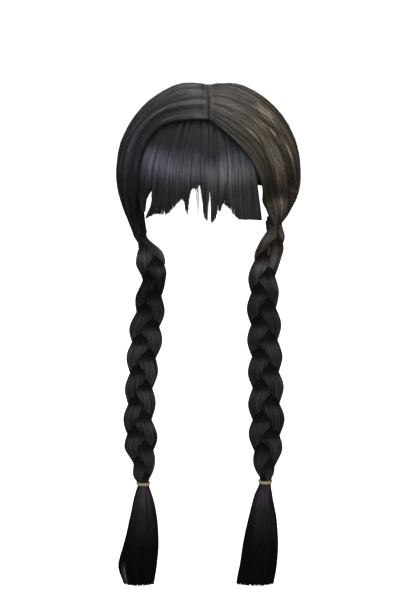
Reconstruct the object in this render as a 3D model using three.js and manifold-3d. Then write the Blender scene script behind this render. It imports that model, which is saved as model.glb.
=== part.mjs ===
// A pigtail wig: a fitted cap, hair parted down the middle and swept to each side, a full fringe,
// and two three-strand plaits, each tied with a small elastic above a brush of loose hair.
// Millimetres, +Z up. The origin is the point inside the cap that sits on the crown of the head.
// The wig faces -Y. Left and right are the wearer's own, so the left plait is at +X.
import * as THREE from "three";
import { mergeVertices } from "three/addons/utils/BufferGeometryUtils.js";
import Module from "manifold-3d";

// Head that the cap fits, from its centre at the widest level
const headHalfWidth = 78;
const headHalfLength = 97;
const headRise = 86;

// Cap, the clearance that every piece keeps to the next, and the room that flat faces need more
// where they lie on a rounded piece
const capWall = 2;
const gap = 0.4;
const facetRoom = 0.8;

// Depth of hair over the head at the sides, the front and the top
const hairDepthSide = 22.4;
const hairDepthFront = 18;
const hairDepthTop = 15;
const hairEdgeDepth = 3.6;
const partingDepthShare = 0.3;
const lockGroove = 2.2;
const partingHalfGap = 0.4;

// Where the swept hair changes: shares of the way from front to back over which its edges thin
// down, and of the way from the parting over which it fills out, and from which it draws together
const frontTaper = 0.24;
const napeTaper = 0.22;
const partingTaper = 0.16;
const drawnFrom = 0.66;

// Fringe: how far its outer face stands over the head at its root, under the swept hair, and where
// it hangs free in front of the forehead. It comes down from one to the other between two upward
// shares of the direction from the head's centre.
const fringeRootLift = 7.5;
const fringeFrontLift = 12;
const fringeHang = 33;
const fringeThickness = 4;
const fringeTipShare = 0.5;
const fringeFrontUpTo = 0.1;
const fringeRootFrom = 0.7;

// Gathers, where the swept hair of each side is drawn together above its plait
const gatherHalfWidth = 8.4;
const gatherHalfDepth = 14;
const gatherBack = 4;

// Plaits. Strands stand further apart than other pieces, because they twist past each other. The
// shares say how far the strands swing from the middle and how far each reaches round its centre,
// at the least and more where it turns at the edge. tiedShare is how much of the elastic's inside the
// strands fill.
const plaitWidth = 34;
const plaitDepth = 26;
const strandGap = 0.8;
const tieDrop = 354.7;
const strandSwing = { across: 0.26, deep: 0.27 };
const strandReachShare = { across: 0.32, deep: 0.24, deepAtEdge: 0.08 };
const plaitStart = 0.06;
const plaitEnd = 0.985;
const tiedShare = 0.94;

// Elastics and the loose hair below them
const elasticInnerRadius = 6.5;
const elasticThickness = 1.2;
const elasticHeight = 4;
const tailLength = 111.5;
const tailHalfWidth = 22;
const tailHalfDepth = 12;
const tailGroove = 0.08;
const tailNeckEnd = 0.12;

// How finely each piece is divided
const capAround = 32;
const capDown = 7;
const sweepLocks = 8;
const sweepOuterSteps = 3 * sweepLocks;
const sweepInnerSteps = 14;
const sweepRings = 16;
const strandSides = 8;
const strandRings = 46;
const lockSides = 6;
const lockRootRings = 4;
const lockHangRings = 4;
const tailSides = 18;
const elasticSides = 14;

const degree = Math.PI / 180;
const headCentre = new THREE.Vector3(0, 0, -headRise);

// The two sides. out and down place the gather from the head's centre, in shares of its half width
// and rise. lobe is the length of one plait lobe in a share of plaitWidth, and outerLobe the share
// of the plait's length at which a lobe stands out.
const sides = {
  left: { sign: 1, out: 0.92, down: 0.667, lobe: 1.06, outerLobe: 0.622 },
  right: { sign: -1, out: 0.941, down: 0.836, lobe: 1.024, outerLobe: 0.605 },
};

// Paths of the hair from the parting to each gather, front to back. part is the angle on the middle
// line of the head, up from the front. The upper and lower guides are angles round from the front
// and above the widest level.
const sweepRows = {
  left: [
    { at: 0, part: 46, upperAround: 28, upperAbove: 21, lowerAround: 46, lowerAbove: -13 },
    { at: 0.2, part: 62, upperAround: 50, upperAbove: 33, lowerAround: 62, lowerAbove: -12 },
    { at: 0.4, part: 86, upperAround: 72, upperAbove: 45, lowerAround: 80, lowerAbove: -8 },
    { at: 0.6, part: 116, upperAround: 100, upperAbove: 41, lowerAround: 99, lowerAbove: -10 },
    { at: 0.8, part: 152, upperAround: 130, upperAbove: 16, lowerAround: 108, lowerAbove: -13 },
    { at: 1, part: 195, upperAround: 142, upperAbove: -21, lowerAround: 110, lowerAbove: -24 },
  ],
  right: [
    { at: 0, part: 46, upperAround: 50, upperAbove: 34, lowerAround: 56, lowerAbove: -8 },
    { at: 0.2, part: 62, upperAround: 64, upperAbove: 37, lowerAround: 69, lowerAbove: -10 },
    { at: 0.4, part: 86, upperAround: 78, upperAbove: 45, lowerAround: 83, lowerAbove: -10 },
    { at: 0.6, part: 116, upperAround: 101, upperAbove: 41, lowerAround: 100, lowerAbove: -12 },
    { at: 0.8, part: 152, upperAround: 130, upperAbove: 16, lowerAround: 109, lowerAbove: -16 },
    { at: 1, part: 195, upperAround: 144, upperAbove: -23, lowerAround: 110, lowerAbove: -28 },
  ],
};

// Lower edge of the cap, by the angle round from the front, in degrees above the widest level.
const capHem = [
  { at: 0, above: 24 },
  { at: 40, above: 12 },
  { at: 72, above: -20 },
  { at: 92, above: -11 },
  { at: 118, above: -19 },
  { at: 150, above: -19 },
  { at: 180, above: -11 },
];

// Locks of the fringe, from the wearer's right to the left, by angles round from the front. root is
// the angle above the widest level where a lock starts under the swept hair, mid is where it passes
// the widest level, and tip is where it ends. wide is half its width. hang is a share of fringeHang,
// and blunt is the share of its width that a lock keeps at its cut end.
const fringeLocks = [
  { root: 42, mid: -54, tip: -56, wide: 4.2, hang: 0.5, blunt: 0.2 },
  { root: 50, mid: -47.5, tip: -50, wide: 4.2, hang: 0.97, blunt: 0.3 },
  { root: 54, mid: -41, tip: -43, wide: 4.6, hang: 0.9, blunt: 0.6 },
  { root: 57, mid: -34, tip: -37, wide: 4.6, hang: 1.02, blunt: 0.35 },
  { root: 59, mid: -27, tip: -29.5, wide: 4.6, hang: 0.9, blunt: 0.45 },
  { root: 61, mid: -20.5, tip: -22.5, wide: 4.2, hang: 0.66, blunt: 0.4 },
  { root: 62, mid: -15, tip: -15.5, wide: 3.4, hang: 0.85, blunt: 0.2 },
  { root: 62, mid: -9.5, tip: -9.5, wide: 4, hang: 0.12, blunt: 0.4 },
  { root: 61, mid: -5, tip: -7, wide: 2.2, hang: 0.88, blunt: 0.3 },
  { root: 60, mid: 0, tip: -0.5, wide: 3.6, hang: 1.04, blunt: 0.5 },
  { root: 58, mid: 5, tip: 4, wide: 3.2, hang: 1.04, blunt: 0.4 },
  { root: 55, mid: 10.5, tip: 8, wide: 3.8, hang: 0.8, blunt: 0.3 },
  { root: 50, mid: 15.5, tip: 14.5, wide: 4, hang: 0.5, blunt: 0.3 },
  { root: 45, mid: 21, tip: 22, wide: 4.2, hang: 1.04, blunt: 0.7 },
  { root: 40, mid: 26, tip: 28.5, wide: 4.4, hang: 1.06, blunt: 1 },
  { root: 32, mid: 31, tip: 35.5, wide: 4.2, hang: 1.06, blunt: 1 },
];

// Each plait from its gather down to its tie. out is a shift away from the head and width the
// plait's own, both in shares of plaitWidth, and depth is a share of plaitDepth. Its two ends take
// their width from the gather and the elastic.
const plaitRows = {
  left: [
    { at: 0, out: 0, width: 0.5, depth: 1.05 },
    { at: 0.07, out: -0.03, width: 0.7, depth: 1 },
    { at: 0.13, out: -0.27, width: 0.84, depth: 0.95 },
    { at: 0.2, out: -0.36, width: 0.91, depth: 0.95 },
    { at: 0.38, out: -0.32, width: 0.95, depth: 1 },
    { at: 0.62, out: -0.24, width: 1, depth: 1 },
    { at: 0.83, out: -0.22, width: 0.96, depth: 0.95 },
    { at: 0.92, out: -0.23, width: 0.68, depth: 0.75 },
    { at: 1, out: -0.25, width: 0.3, depth: 0.4 },
  ],
  right: [
    { at: 0, out: 0, width: 0.5, depth: 1.05 },
    { at: 0.04, out: -0.14, width: 0.7, depth: 1 },
    { at: 0.1, out: -0.27, width: 0.93, depth: 0.95 },
    { at: 0.17, out: -0.3, width: 0.78, depth: 0.9 },
    { at: 0.25, out: -0.27, width: 0.82, depth: 0.95 },
    { at: 0.38, out: -0.13, width: 0.97, depth: 1 },
    { at: 0.58, out: 0.03, width: 0.88, depth: 1 },
    { at: 0.72, out: 0.09, width: 0.9, depth: 0.95 },
    { at: 0.84, out: 0.04, width: 0.94, depth: 0.95 },
    { at: 0.93, out: -0.02, width: 0.62, depth: 0.7 },
    { at: 1, out: -0.03, width: 0.3, depth: 0.4 },
  ],
};

// Each tail from its tie down to its cut end. lean is a shift towards +X and wide half its width,
// both in shares of tailHalfWidth, and deep is a share of tailHalfDepth.
const tailRows = {
  left: [
    { at: 0, lean: 0, wide: 0.27, deep: 0.46 },
    { at: 0.13, lean: -0.08, wide: 0.5, deep: 0.6 },
    { at: 0.34, lean: -0.13, wide: 0.74, deep: 0.8 },
    { at: 0.6, lean: -0.2, wide: 0.92, deep: 0.95 },
    { at: 0.8, lean: -0.31, wide: 0.98, deep: 1 },
    { at: 1, lean: -0.5, wide: 1, deep: 0.95 },
  ],
  right: [
    { at: 0, lean: 0, wide: 0.27, deep: 0.46 },
    { at: 0.15, lean: 0, wide: 0.54, deep: 0.62 },
    { at: 0.34, lean: -0.04, wide: 0.74, deep: 0.8 },
    { at: 0.6, lean: -0.15, wide: 0.94, deep: 0.95 },
    { at: 0.82, lean: -0.31, wide: 1.03, deep: 1 },
    { at: 1, lean: -0.35, wide: 0.85, deep: 0.9 },
  ],
};

const wasm = await Module();
wasm.setup();

// Every column of a table at a place in its "at" column, on smooth curves through its rows.
function readRows(rows, at) {
  const last = rows.length - 2;
  const found = rows.findIndex((row, i) => i < rows.length - 1 && at <= rows[i + 1].at);
  const i = found < 0 ? last : found;
  const [low, high] = [rows[i], rows[i + 1]];
  const span = high.at - low.at;
  const t = (at - low.at) / span;
  const slope = (a, b, name) => (b[name] - a[name]) / (b.at - a.at);
  const read = {};
  for (const name of Object.keys(low)) {
    const here = slope(low, high, name);
    const before = i > 0 ? (slope(rows[i - 1], low, name) + here) / 2 : here;
    const after = i < last ? (slope(high, rows[i + 2], name) + here) / 2 : here;
    read[name] =
      low[name] * (1 + 2 * t) * (1 - t) ** 2 +
      high[name] * t ** 2 * (3 - 2 * t) +
      span * t * (1 - t) * (before * (1 - t) - after * t);
  }
  return read;
}

// Unit direction at an angle round from the front and above the widest level, in degrees.
function direction(around, above) {
  const [a, b] = [around * degree, above * degree];
  return new THREE.Vector3(Math.sin(a) * Math.cos(b), -Math.cos(a) * Math.cos(b), Math.sin(b));
}

// The point a given lift above the head in a unit direction from its centre.
function overHead(unit, lift) {
  return new THREE.Vector3(
    unit.x * (headHalfWidth + lift),
    unit.y * (headHalfLength + lift),
    unit.z * (headRise + lift),
  ).add(headCentre);
}

const smooth = (x, low, high) => THREE.MathUtils.smoothstep(x, low, high);

// How far the fringe's outer face stands over the head, by the upward share of a unit direction.
// Below the widest level the fringe hangs straight down while the head draws in.
function fringeLift(upward) {
  if (upward > 0) {
    const rooted = smooth(upward, fringeFrontUpTo, fringeRootFrom);
    return THREE.MathUtils.lerp(fringeFrontLift, fringeRootLift, rooted);
  }
  return (headHalfLength + fringeFrontLift) / Math.sqrt(1 - upward ** 2) - headHalfLength;
}

// 1 in the directions that the fringe takes up on one side of the head, down to 0 outside them.
function overFringe(name, unit) {
  const [clear, fade] = [2, 12];
  const around = Math.atan2(Math.abs(unit.x), -unit.y) / degree;
  const above = Math.asin(unit.z) / degree;
  const edge = Math.max(...fringeLocks.map((lock) => sides[name].sign * lock.mid + lock.wide));
  const top = Math.max(...fringeLocks.map((lock) => lock.root));
  const besides = smooth(around, edge + clear, edge + fade);
  const behind = smooth(above, top + clear, top + fade);
  return (1 - besides) * (1 - behind);
}

// The same point, or the nearest on its ray from the head's centre that has the lift.
function atLeast(lift, point) {
  const from = point.clone().sub(headCentre);
  const halves = [headHalfWidth, headHalfLength, headRise].map((half) => half + lift);
  const reach = Math.hypot(from.x / halves[0], from.y / halves[1], from.z / halves[2]);
  return reach < 1 ? from.divideScalar(reach).add(headCentre) : point;
}

// Triangles over a flat ring of points, turned the way that the ring runs.
function flatFaces(ring) {
  const centre = ring.reduce((sum, p) => sum.add(p), new THREE.Vector3()).divideScalar(ring.length);
  const normal = new THREE.Vector3();
  ring.forEach((p, i) => {
    const next = ring[(i + 1) % ring.length];
    normal.add(p.clone().sub(centre).cross(next.clone().sub(centre)));
  });
  normal.normalize();
  const across = ring[0].clone().sub(centre).projectOnPlane(normal).normalize();
  const up = normal.clone().cross(across);
  const flat = ring.map((p) => {
    const from = p.clone().sub(centre);
    return new THREE.Vector2(from.dot(across), from.dot(up));
  });
  return THREE.ShapeUtils.triangulateShape(flat, []).map(([a, b, c]) => {
    const turn = flat[b].clone().sub(flat[a]).cross(flat[c].clone().sub(flat[a]));
    return turn < 0 ? [a, c, b] : [a, b, c];
  });
}

// A closed body through rings of equal length, with flat ends and its faces pointing out.
function loft(rings) {
  const count = rings[0].length;
  const points = rings.flat();
  const faces = flatFaces(rings[0]).map(([a, b, c]) => [a, c, b]);
  for (let r = 0; r + 1 < rings.length; r++) {
    for (let i = 0; i < count; i++) {
      const a = r * count + i;
      const b = r * count + ((i + 1) % count);
      faces.push([a, b, a + count], [b, b + count, a + count]);
    }
  }
  const end = (rings.length - 1) * count;
  faces.push(...flatFaces(rings.at(-1)).map((face) => face.map((i) => i + end)));
  return closedGeometry(points, faces);
}

// A geometry from points and faces, turned right side out by the sign of its volume.
function closedGeometry(points, faces) {
  const volume = faces.reduce(
    (sum, [a, b, c]) => sum + points[a].dot(points[b].clone().cross(points[c])),
    0,
  );
  const turned = volume < 0 ? faces.map(([a, b, c]) => [a, c, b]) : faces;
  const geometry = new THREE.BufferGeometry().setFromPoints(points);
  geometry.setIndex(turned.flat());
  geometry.computeVertexNormals();
  return geometry;
}

// The cap: a thin shell over the head with a hem that rises at the forehead, ears and nape.
function capGeometry() {
  const points = [overHead(direction(0, 90), capWall), overHead(direction(0, 90), 0)];
  const faces = [];
  const place = (wall, down, around) => 2 + (wall * capDown + down) * capAround + (around % capAround);
  for (const lift of [capWall, 0]) {
    for (let down = 1; down <= capDown; down++) {
      for (let i = 0; i < capAround; i++) {
        const around = (360 * i) / capAround;
        const hem = readRows(capHem, Math.min(around, 360 - around)).above;
        const above = 90 + ((hem - 90) * down) / capDown;
        points.push(overHead(direction(around, above), lift));
      }
    }
  }
  for (let i = 0; i < capAround; i++) {
    faces.push([0, place(0, 0, i), place(0, 0, i + 1)], [1, place(1, 0, i + 1), place(1, 0, i)]);
    for (let down = 0; down + 1 < capDown; down++) {
      const [a, b] = [place(0, down, i), place(0, down, i + 1)];
      const [c, d] = [place(0, down + 1, i), place(0, down + 1, i + 1)];
      const inward = capDown * capAround;
      faces.push([a, c, b], [b, c, d]);
      faces.push([a + inward, b + inward, c + inward], [b + inward, d + inward, c + inward]);
    }
    const [a, b] = [place(0, capDown - 1, i), place(0, capDown - 1, i + 1)];
    const [c, d] = [place(1, capDown - 1, i), place(1, capDown - 1, i + 1)];
    faces.push([a, c, b], [b, c, d]);
  }
  return closedGeometry(points, faces);
}

// Where a side's hair is gathered.
function gatherPoint(side) {
  const drop = headRise * side.down;
  return new THREE.Vector3(side.sign * headHalfWidth * side.out, gatherBack, -headRise - drop);
}

// Unit direction, from the head's centre, of the swept hair at a share of the way from front to
// back and a share of the way from the parting to the gather.
function sweepDirection(name, share, along) {
  const side = sides[name];
  const row = readRows(sweepRows[name], share);
  const depth = hairDepthSide;
  const gather = gatherPoint(side).sub(headCentre);
  const end = new THREE.Vector3(
    Math.abs(gather.x) / (headHalfWidth + depth),
    gather.y / (headHalfLength + depth),
    gather.z / (headRise + depth),
  ).normalize();
  const path = new THREE.CatmullRomCurve3(
    [
      direction(0, row.part),
      direction(row.upperAround, row.upperAbove),
      direction(row.lowerAround, row.lowerAbove),
      end,
    ],
    false,
    "centripetal",
  );
  const unit = path.getPoint(along).normalize();
  unit.x *= side.sign;
  return unit;
}

// Depth of hair over the head in a direction, where it is full.
function fullDepth(unit) {
  return hairDepthSide * unit.x ** 2 + hairDepthFront * unit.y ** 2 + hairDepthTop * unit.z ** 2;
}

// Lift of the swept hair's inner face: it lies on the cap, or on the fringe's root at the front.
function sweepInnerLift(name, unit) {
  const under = THREE.MathUtils.lerp(capWall, fringeLift(unit.z), overFringe(name, unit));
  return under + gap + facetRoom;
}

// Lift of its outer face: thin at the front edge, the nape and the parting, with grooved locks.
function sweepOuterLift(name, unit, share, along) {
  const front = smooth(share, -frontTaper / 6, frontTaper);
  const nape = smooth(1 - share, -napeTaper / 4, napeTaper);
  const parting = THREE.MathUtils.lerp(partingDepthShare, 1, smooth(along, 0, partingTaper));
  const thin = sweepInnerLift(name, unit) + hairEdgeDepth;
  const lift = THREE.MathUtils.lerp(thin, Math.max(thin, fullDepth(unit)), front * nape * parting);
  const groove = Math.abs(Math.cos(Math.PI * sweepLocks * share)) ** 3;
  const inside = Math.min(1, share * sweepLocks, (1 - share) * sweepLocks);
  const fade = smooth(along, 0, partingTaper) * (1 - smooth(along, drawnFrom, 1));
  return lift - lockGroove * groove * inside * fade;
}

// Point of the edge of the bundle that the gather holds: half an oval each for the outer face and
// the inner one, from the front round to the back.
function bundlePoint(side, share, outward) {
  const open = 0.03;
  const turn = Math.PI * THREE.MathUtils.lerp(open, 1 - open, share);
  const across = (outward ? 1 : -1) * gatherHalfWidth * Math.sin(turn);
  return new THREE.Vector3(side.sign * across, -gatherHalfDepth * Math.cos(turn), 0).add(
    gatherPoint(side),
  );
}

// One point of a side's hair: over the head at first, and drawn into the bundle at the end.
function sweepPoint(name, share, along, outward) {
  const side = sides[name];
  const unit = sweepDirection(name, share, along);
  const inner = sweepInnerLift(name, unit);
  const lift = outward ? sweepOuterLift(name, unit, share, along) : inner;
  const drawn = smooth(along, drawnFrom, 1);
  const point = overHead(unit, lift).lerp(bundlePoint(side, share, outward), drawn);
  const least = outward ? inner + hairEdgeDepth * (1 - drawn) : inner;
  const clear = atLeast(least, point);
  clear.x = side.sign * Math.max(side.sign * clear.x, partingHalfGap);
  return clear;
}

// One side's hair, from the parting to the gather.
function sweepGeometry(name) {
  const rings = [];
  for (let r = 0; r <= sweepRings; r++) {
    const along = r / sweepRings;
    const ring = [];
    for (let i = 0; i <= sweepOuterSteps; i++) {
      ring.push(sweepPoint(name, i / sweepOuterSteps, along, true));
    }
    for (let i = 0; i <= sweepInnerSteps; i++) {
      ring.push(sweepPoint(name, 1 - i / sweepInnerSteps, along, false));
    }
    rings.push(ring);
  }
  return loft(rings);
}

// Width, depth and middle of a plait at a share of its length.
function plaitPlace(name, share) {
  const side = sides[name];
  const row = readRows(plaitRows[name], share);
  const neck = 2 * (elasticInnerRadius - gap);
  const reach = 2 * (strandSwing.across + strandReachShare.across);
  const started = smooth(share, 0, plaitStart);
  const tied = smooth(share, plaitEnd - plaitStart, plaitEnd);
  const tiedSize = (tiedShare * neck) / reach;
  const size = (start, full) =>
    THREE.MathUtils.lerp(THREE.MathUtils.lerp(start, full, started), tiedSize, tied);
  return {
    width: size(2 * gatherHalfWidth, row.width * plaitWidth),
    depth: size(2 * gatherHalfDepth, row.depth * plaitDepth),
    x: side.sign * (headHalfWidth * side.out + row.out * plaitWidth),
    y: gatherBack * (1 - share),
  };
}

// Centre and reach of one strand at a share of its plait's length. The three strands follow the
// same figure of eight, a third of a turn apart. Each comes forward from the middle as it runs down
// to the edge, and goes back behind the others.
function strandPlace(name, strand, share) {
  const side = sides[name];
  const plait = plaitPlace(name, share);
  const lobes = ((share - side.outerLobe) * plaitLength(name)) / (side.lobe * plaitWidth);
  const phase = Math.PI / 2 + (2 * Math.PI * (lobes + strand)) / 3;
  const edge = Math.sin(phase) ** 2;
  return {
    x: plait.x + side.sign * strandSwing.across * plait.width * Math.sin(phase),
    y: plait.y - strandSwing.deep * plait.depth * Math.sin(2 * phase),
    reachX: strandReachShare.across * plait.width,
    reachY: (strandReachShare.deep + strandReachShare.deepAtEdge * edge) * plait.depth,
  };
}

// Length of a plait from its gather to the lower edge of its elastic.
function plaitLength(name) {
  return tieDrop - headRise * sides[name].down;
}

// How far a strand reaches from its centre at an angle: an ellipse, pressed flat where it meets
// the other two.
function strandReach(name, strand, share, angle) {
  const here = strandPlace(name, strand, share);
  const [c, s] = [Math.cos(angle), Math.sin(angle)];
  let reach = 1 / Math.hypot(c / here.reachX, s / here.reachY);
  for (const turn of [1, 2]) {
    const other = strandPlace(name, (strand + turn) % 3, share);
    const [dx, dy] = [other.x - here.x, other.y - here.y];
    const apart = Math.hypot(dx, dy);
    const towards = (c * dx + s * dy) / apart;
    if (towards > 0) reach = Math.min(reach, (apart - strandGap) / 2 / towards);
  }
  return reach;
}

// One strand of a plait, in level sections. It stays clear of its neighbours between the sections
// too, so each is held to the least reach near its level.
function strandGeometry(name, strand) {
  const top = gatherPoint(sides[name]).z - gap;
  const rings = [];
  for (let r = 0; r <= strandRings; r++) {
    const share = r / strandRings;
    const centre = strandPlace(name, strand, share);
    const near = [-1, -0.5, 0, 0.5, 1].map((step) =>
      THREE.MathUtils.clamp(share + step / strandRings, 0, 1),
    );
    const ring = [];
    for (let i = 0; i < strandSides; i++) {
      const angle = (2 * Math.PI * (i + 0.5)) / strandSides;
      const reach = Math.min(...near.map((level) => strandReach(name, strand, level, angle)));
      ring.push(
        new THREE.Vector3(
          centre.x + reach * Math.cos(angle),
          centre.y + reach * Math.sin(angle),
          top - share * plaitLength(name),
        ),
      );
    }
    rings.push(ring);
  }
  return loft(rings);
}

// Where a plait is tied: the middle of its elastic.
function tiePoint(name) {
  return new THREE.Vector3(plaitPlace(name, 1).x, 0, -headRise - tieDrop + elasticHeight / 2);
}

// The elastic: a band wound of three turns, seen as three ribs.
function elasticGeometry() {
  const turns = 3;
  const pitch = elasticHeight / turns;
  const outer = elasticInnerRadius + elasticThickness;
  const profile = [new THREE.Vector2(elasticInnerRadius, -elasticHeight / 2)];
  for (let i = 0; i < turns; i++) {
    const low = -elasticHeight / 2 + i * pitch;
    profile.push(new THREE.Vector2(outer - pitch / 4, low));
    profile.push(new THREE.Vector2(outer, low + pitch / 2));
  }
  profile.push(new THREE.Vector2(outer - pitch / 4, elasticHeight / 2));
  profile.push(new THREE.Vector2(elasticInnerRadius, elasticHeight / 2));
  profile.push(profile[0].clone());
  return new THREE.LatheGeometry(profile, elasticSides).rotateX(Math.PI / 2);
}

// The loose hair below an elastic: a brush with shallow locks round it and a level cut end.
function tailGeometry(name) {
  const tie = tiePoint(name);
  const top = tie.z - elasticHeight / 2 - 2 * gap;
  const neck = elasticInnerRadius - gap;
  const rings = tailRows[name].map((row) => {
    const loose = smooth(row.at, 0, tailNeckEnd);
    const wide = THREE.MathUtils.lerp(neck, tailHalfWidth * row.wide, loose);
    const deep = THREE.MathUtils.lerp(neck, tailHalfDepth * row.deep, loose);
    const ring = [];
    for (let i = 0; i < tailSides; i++) {
      const angle = (2 * Math.PI * i) / tailSides;
      const ridge = i % 2 ? 1 - tailGroove * loose : 1;
      ring.push(
        new THREE.Vector3(
          tie.x + tailHalfWidth * row.lean + wide * ridge * Math.cos(angle),
          deep * ridge * Math.sin(angle),
          top - row.at * tailLength,
        ),
      );
    }
    return ring;
  });
  return loft(rings);
}

// One lock of the fringe. It follows the head from its root down to the widest level, and hangs
// straight down below.
function lockGeometry(lock) {
  const rings = [];
  for (let r = 0; r <= lockRootRings + lockHangRings; r++) {
    const above = lock.root * Math.max(0, 1 - r / lockRootRings);
    const free = Math.max(0, (r - lockRootRings) / lockHangRings);
    const middle = THREE.MathUtils.lerp(lock.mid, lock.tip, free);
    const halfAngle = lock.wide * THREE.MathUtils.lerp(1, lock.blunt, smooth(free, 0.2, 1));
    const halfThickness = (fringeThickness / 2) * THREE.MathUtils.lerp(1, fringeTipShare, free);
    const lift = fringeLift(Math.sin(above * degree)) - fringeThickness / 2;
    const ring = [];
    for (let i = 0; i < lockSides; i++) {
      const turn = (2 * Math.PI * i) / lockSides;
      const unit = direction(middle + halfAngle * Math.cos(turn), above);
      const point = overHead(unit, lift + halfThickness * Math.sin(turn));
      point.z -= free * lock.hang * fringeHang;
      ring.push(point);
    }
    rings.push(ring);
  }
  return loft(rings);
}

// A closed geometry as a solid that can be joined, and back.
function toSolid(geometry) {
  const bare = new THREE.BufferGeometry().setAttribute("position", geometry.getAttribute("position"));
  bare.setIndex(geometry.index);
  const merged = mergeVertices(bare, 1e-4);
  return new wasm.Manifold(
    new wasm.Mesh({
      numProp: 3,
      vertProperties: merged.attributes.position.array,
      triVerts: new Uint32Array(merged.index.array),
    }),
  );
}

function fromSolid(solid) {
  const mesh = solid.getMesh();
  const geometry = new THREE.BufferGeometry();
  geometry.setAttribute("position", new THREE.BufferAttribute(mesh.vertProperties, 3));
  geometry.setIndex(new THREE.BufferAttribute(mesh.triVerts, 1));
  geometry.computeVertexNormals();
  return geometry;
}

// The fringe: all its locks fused into one piece of hair.
function fringeGeometry() {
  const locks = fringeLocks.map((lock) => toSolid(lockGeometry(lock)));
  return fromSolid(locks.reduce((whole, lock) => whole.add(lock)));
}

const capNet = new THREE.MeshStandardMaterial({ color: 0x1b1a1a, roughness: 0.9, metalness: 0 });
const hair = new THREE.MeshStandardMaterial({ color: 0x1c1b1d, roughness: 0.42, metalness: 0 });
const elastic = new THREE.MeshStandardMaterial({ color: 0xb59a5e, roughness: 0.55, metalness: 0 });

function named(name, geometry, material) {
  const mesh = new THREE.Mesh(geometry, material);
  mesh.name = name;
  return mesh;
}

const wig = new THREE.Group();
wig.add(named("cap", capGeometry(), capNet));
wig.add(named("fringe", fringeGeometry(), hair));
for (const name of Object.keys(sides)) {
  wig.add(named(`swept_hair_${name}`, sweepGeometry(name), hair));
  for (let strand = 0; strand < 3; strand++) {
    wig.add(named(`plait_${name}_strand_${strand + 1}`, strandGeometry(name, strand), hair));
  }
  const band = named(`elastic_${name}`, elasticGeometry(), elastic);
  band.position.copy(tiePoint(name));
  wig.add(band);
  wig.add(named(`tail_${name}`, tailGeometry(name), hair));
}

export default wig;
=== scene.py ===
"""Looks of a plaited pigtail wig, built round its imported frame.

Sizes are in millimetres, as in the frame's source, and become metres where a mesh is made.
The wig faces -Y. Left and right are the wearer's own, so the left plait is at +X.
"""

import logging
import math
from dataclasses import dataclass, field
from enum import Enum

import bpy
import numpy as np
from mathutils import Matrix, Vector


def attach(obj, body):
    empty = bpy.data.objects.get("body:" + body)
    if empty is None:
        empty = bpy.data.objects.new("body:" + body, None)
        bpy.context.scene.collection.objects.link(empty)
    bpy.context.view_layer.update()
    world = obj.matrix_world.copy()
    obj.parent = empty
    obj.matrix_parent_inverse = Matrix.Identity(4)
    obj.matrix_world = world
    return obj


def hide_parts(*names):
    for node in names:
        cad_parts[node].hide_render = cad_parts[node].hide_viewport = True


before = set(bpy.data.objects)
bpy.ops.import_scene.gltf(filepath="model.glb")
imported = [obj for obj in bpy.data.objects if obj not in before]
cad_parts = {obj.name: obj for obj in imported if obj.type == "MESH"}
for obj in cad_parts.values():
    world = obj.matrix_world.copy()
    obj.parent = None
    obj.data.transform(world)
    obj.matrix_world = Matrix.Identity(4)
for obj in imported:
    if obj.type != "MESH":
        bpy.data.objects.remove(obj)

Array = np.ndarray
Span = tuple[float, float]
METRES = 0.001
log = logging.getLogger("pigtail_wig")


def smooth(value: Array | float, low: float, high: float) -> Array:
    """Ease from 0 at low to 1 at high.

    Args:
        value: Where the step is read.
        low: Where it starts.
        high: Where it is done.

    Returns:
        The step's height at each value.
    """
    t = np.clip((np.asarray(value, float) - low) / (high - low), 0, 1)
    return t * t * (3 - 2 * t)


def mix(start: Array | float, end: Array | float, share: Array | float) -> Array:
    """The value at a share of the way from start to end."""
    return start + (end - start) * share


def wander(seed: int, across: Array, along: Array, waves: int = 5) -> Array:
    """Smooth seeded noise between about -1 and 1.

    Args:
        seed: Seed of the waves.
        across: First place, in wavelengths of the slowest wave.
        along: Second place, in the same unit.
        waves: How many waves are added up.

    Returns:
        The noise at each pair of places.
    """
    rng = np.random.default_rng(seed)
    total = 0
    for k in range(waves):
        turn = rng.uniform(0, 2 * math.pi)
        speed = 1 + 0.6 * k
        start = rng.uniform(0, 2 * math.pi)
        path = math.cos(turn) * across + math.sin(turn) * along
        total = total + np.sin(2 * math.pi * speed * path + start) / (1 + 0.4 * k)
    return total / math.sqrt(waves)


def sines(rng: np.random.Generator, size: tuple[int, int], along: Array, low: float, high: float) -> Array:
    """A wave along each strand, with its own random speed and start.

    Args:
        rng: Source of the scatter.
        size: Shape of the scatter, a row for each strand.
        along: Place along the strands.
        low: Fewest waves over a length of 1.
        high: Most waves over it.

    Returns:
        Values from -1 to 1.
    """
    return np.sin(2 * np.pi * (along * rng.uniform(low, high, size) + rng.random(size)))


def either(
    rng: np.random.Generator, size: tuple[int, int], share: float, first: Span, second: Span
) -> Array:
    """Random values from a first range for a share of the strands, and from a second for the rest.

    Args:
        rng: Source of the scatter.
        size: Shape of the scatter, a row for each strand.
        share: Share of the strands in the first range.
        first: The first range.
        second: The second range.

    Returns:
        A value for each strand.
    """
    chosen = rng.random(size) < share
    return np.where(chosen, rng.uniform(*first, size), rng.uniform(*second, size))


class Side(Enum):
    """The wearer's two sides. The value is the sign of X."""

    LEFT = 1
    RIGHT = -1

    @property
    def label(self) -> str:
        """The word for this side in the names of pieces."""
        return self.name.lower()


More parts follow.
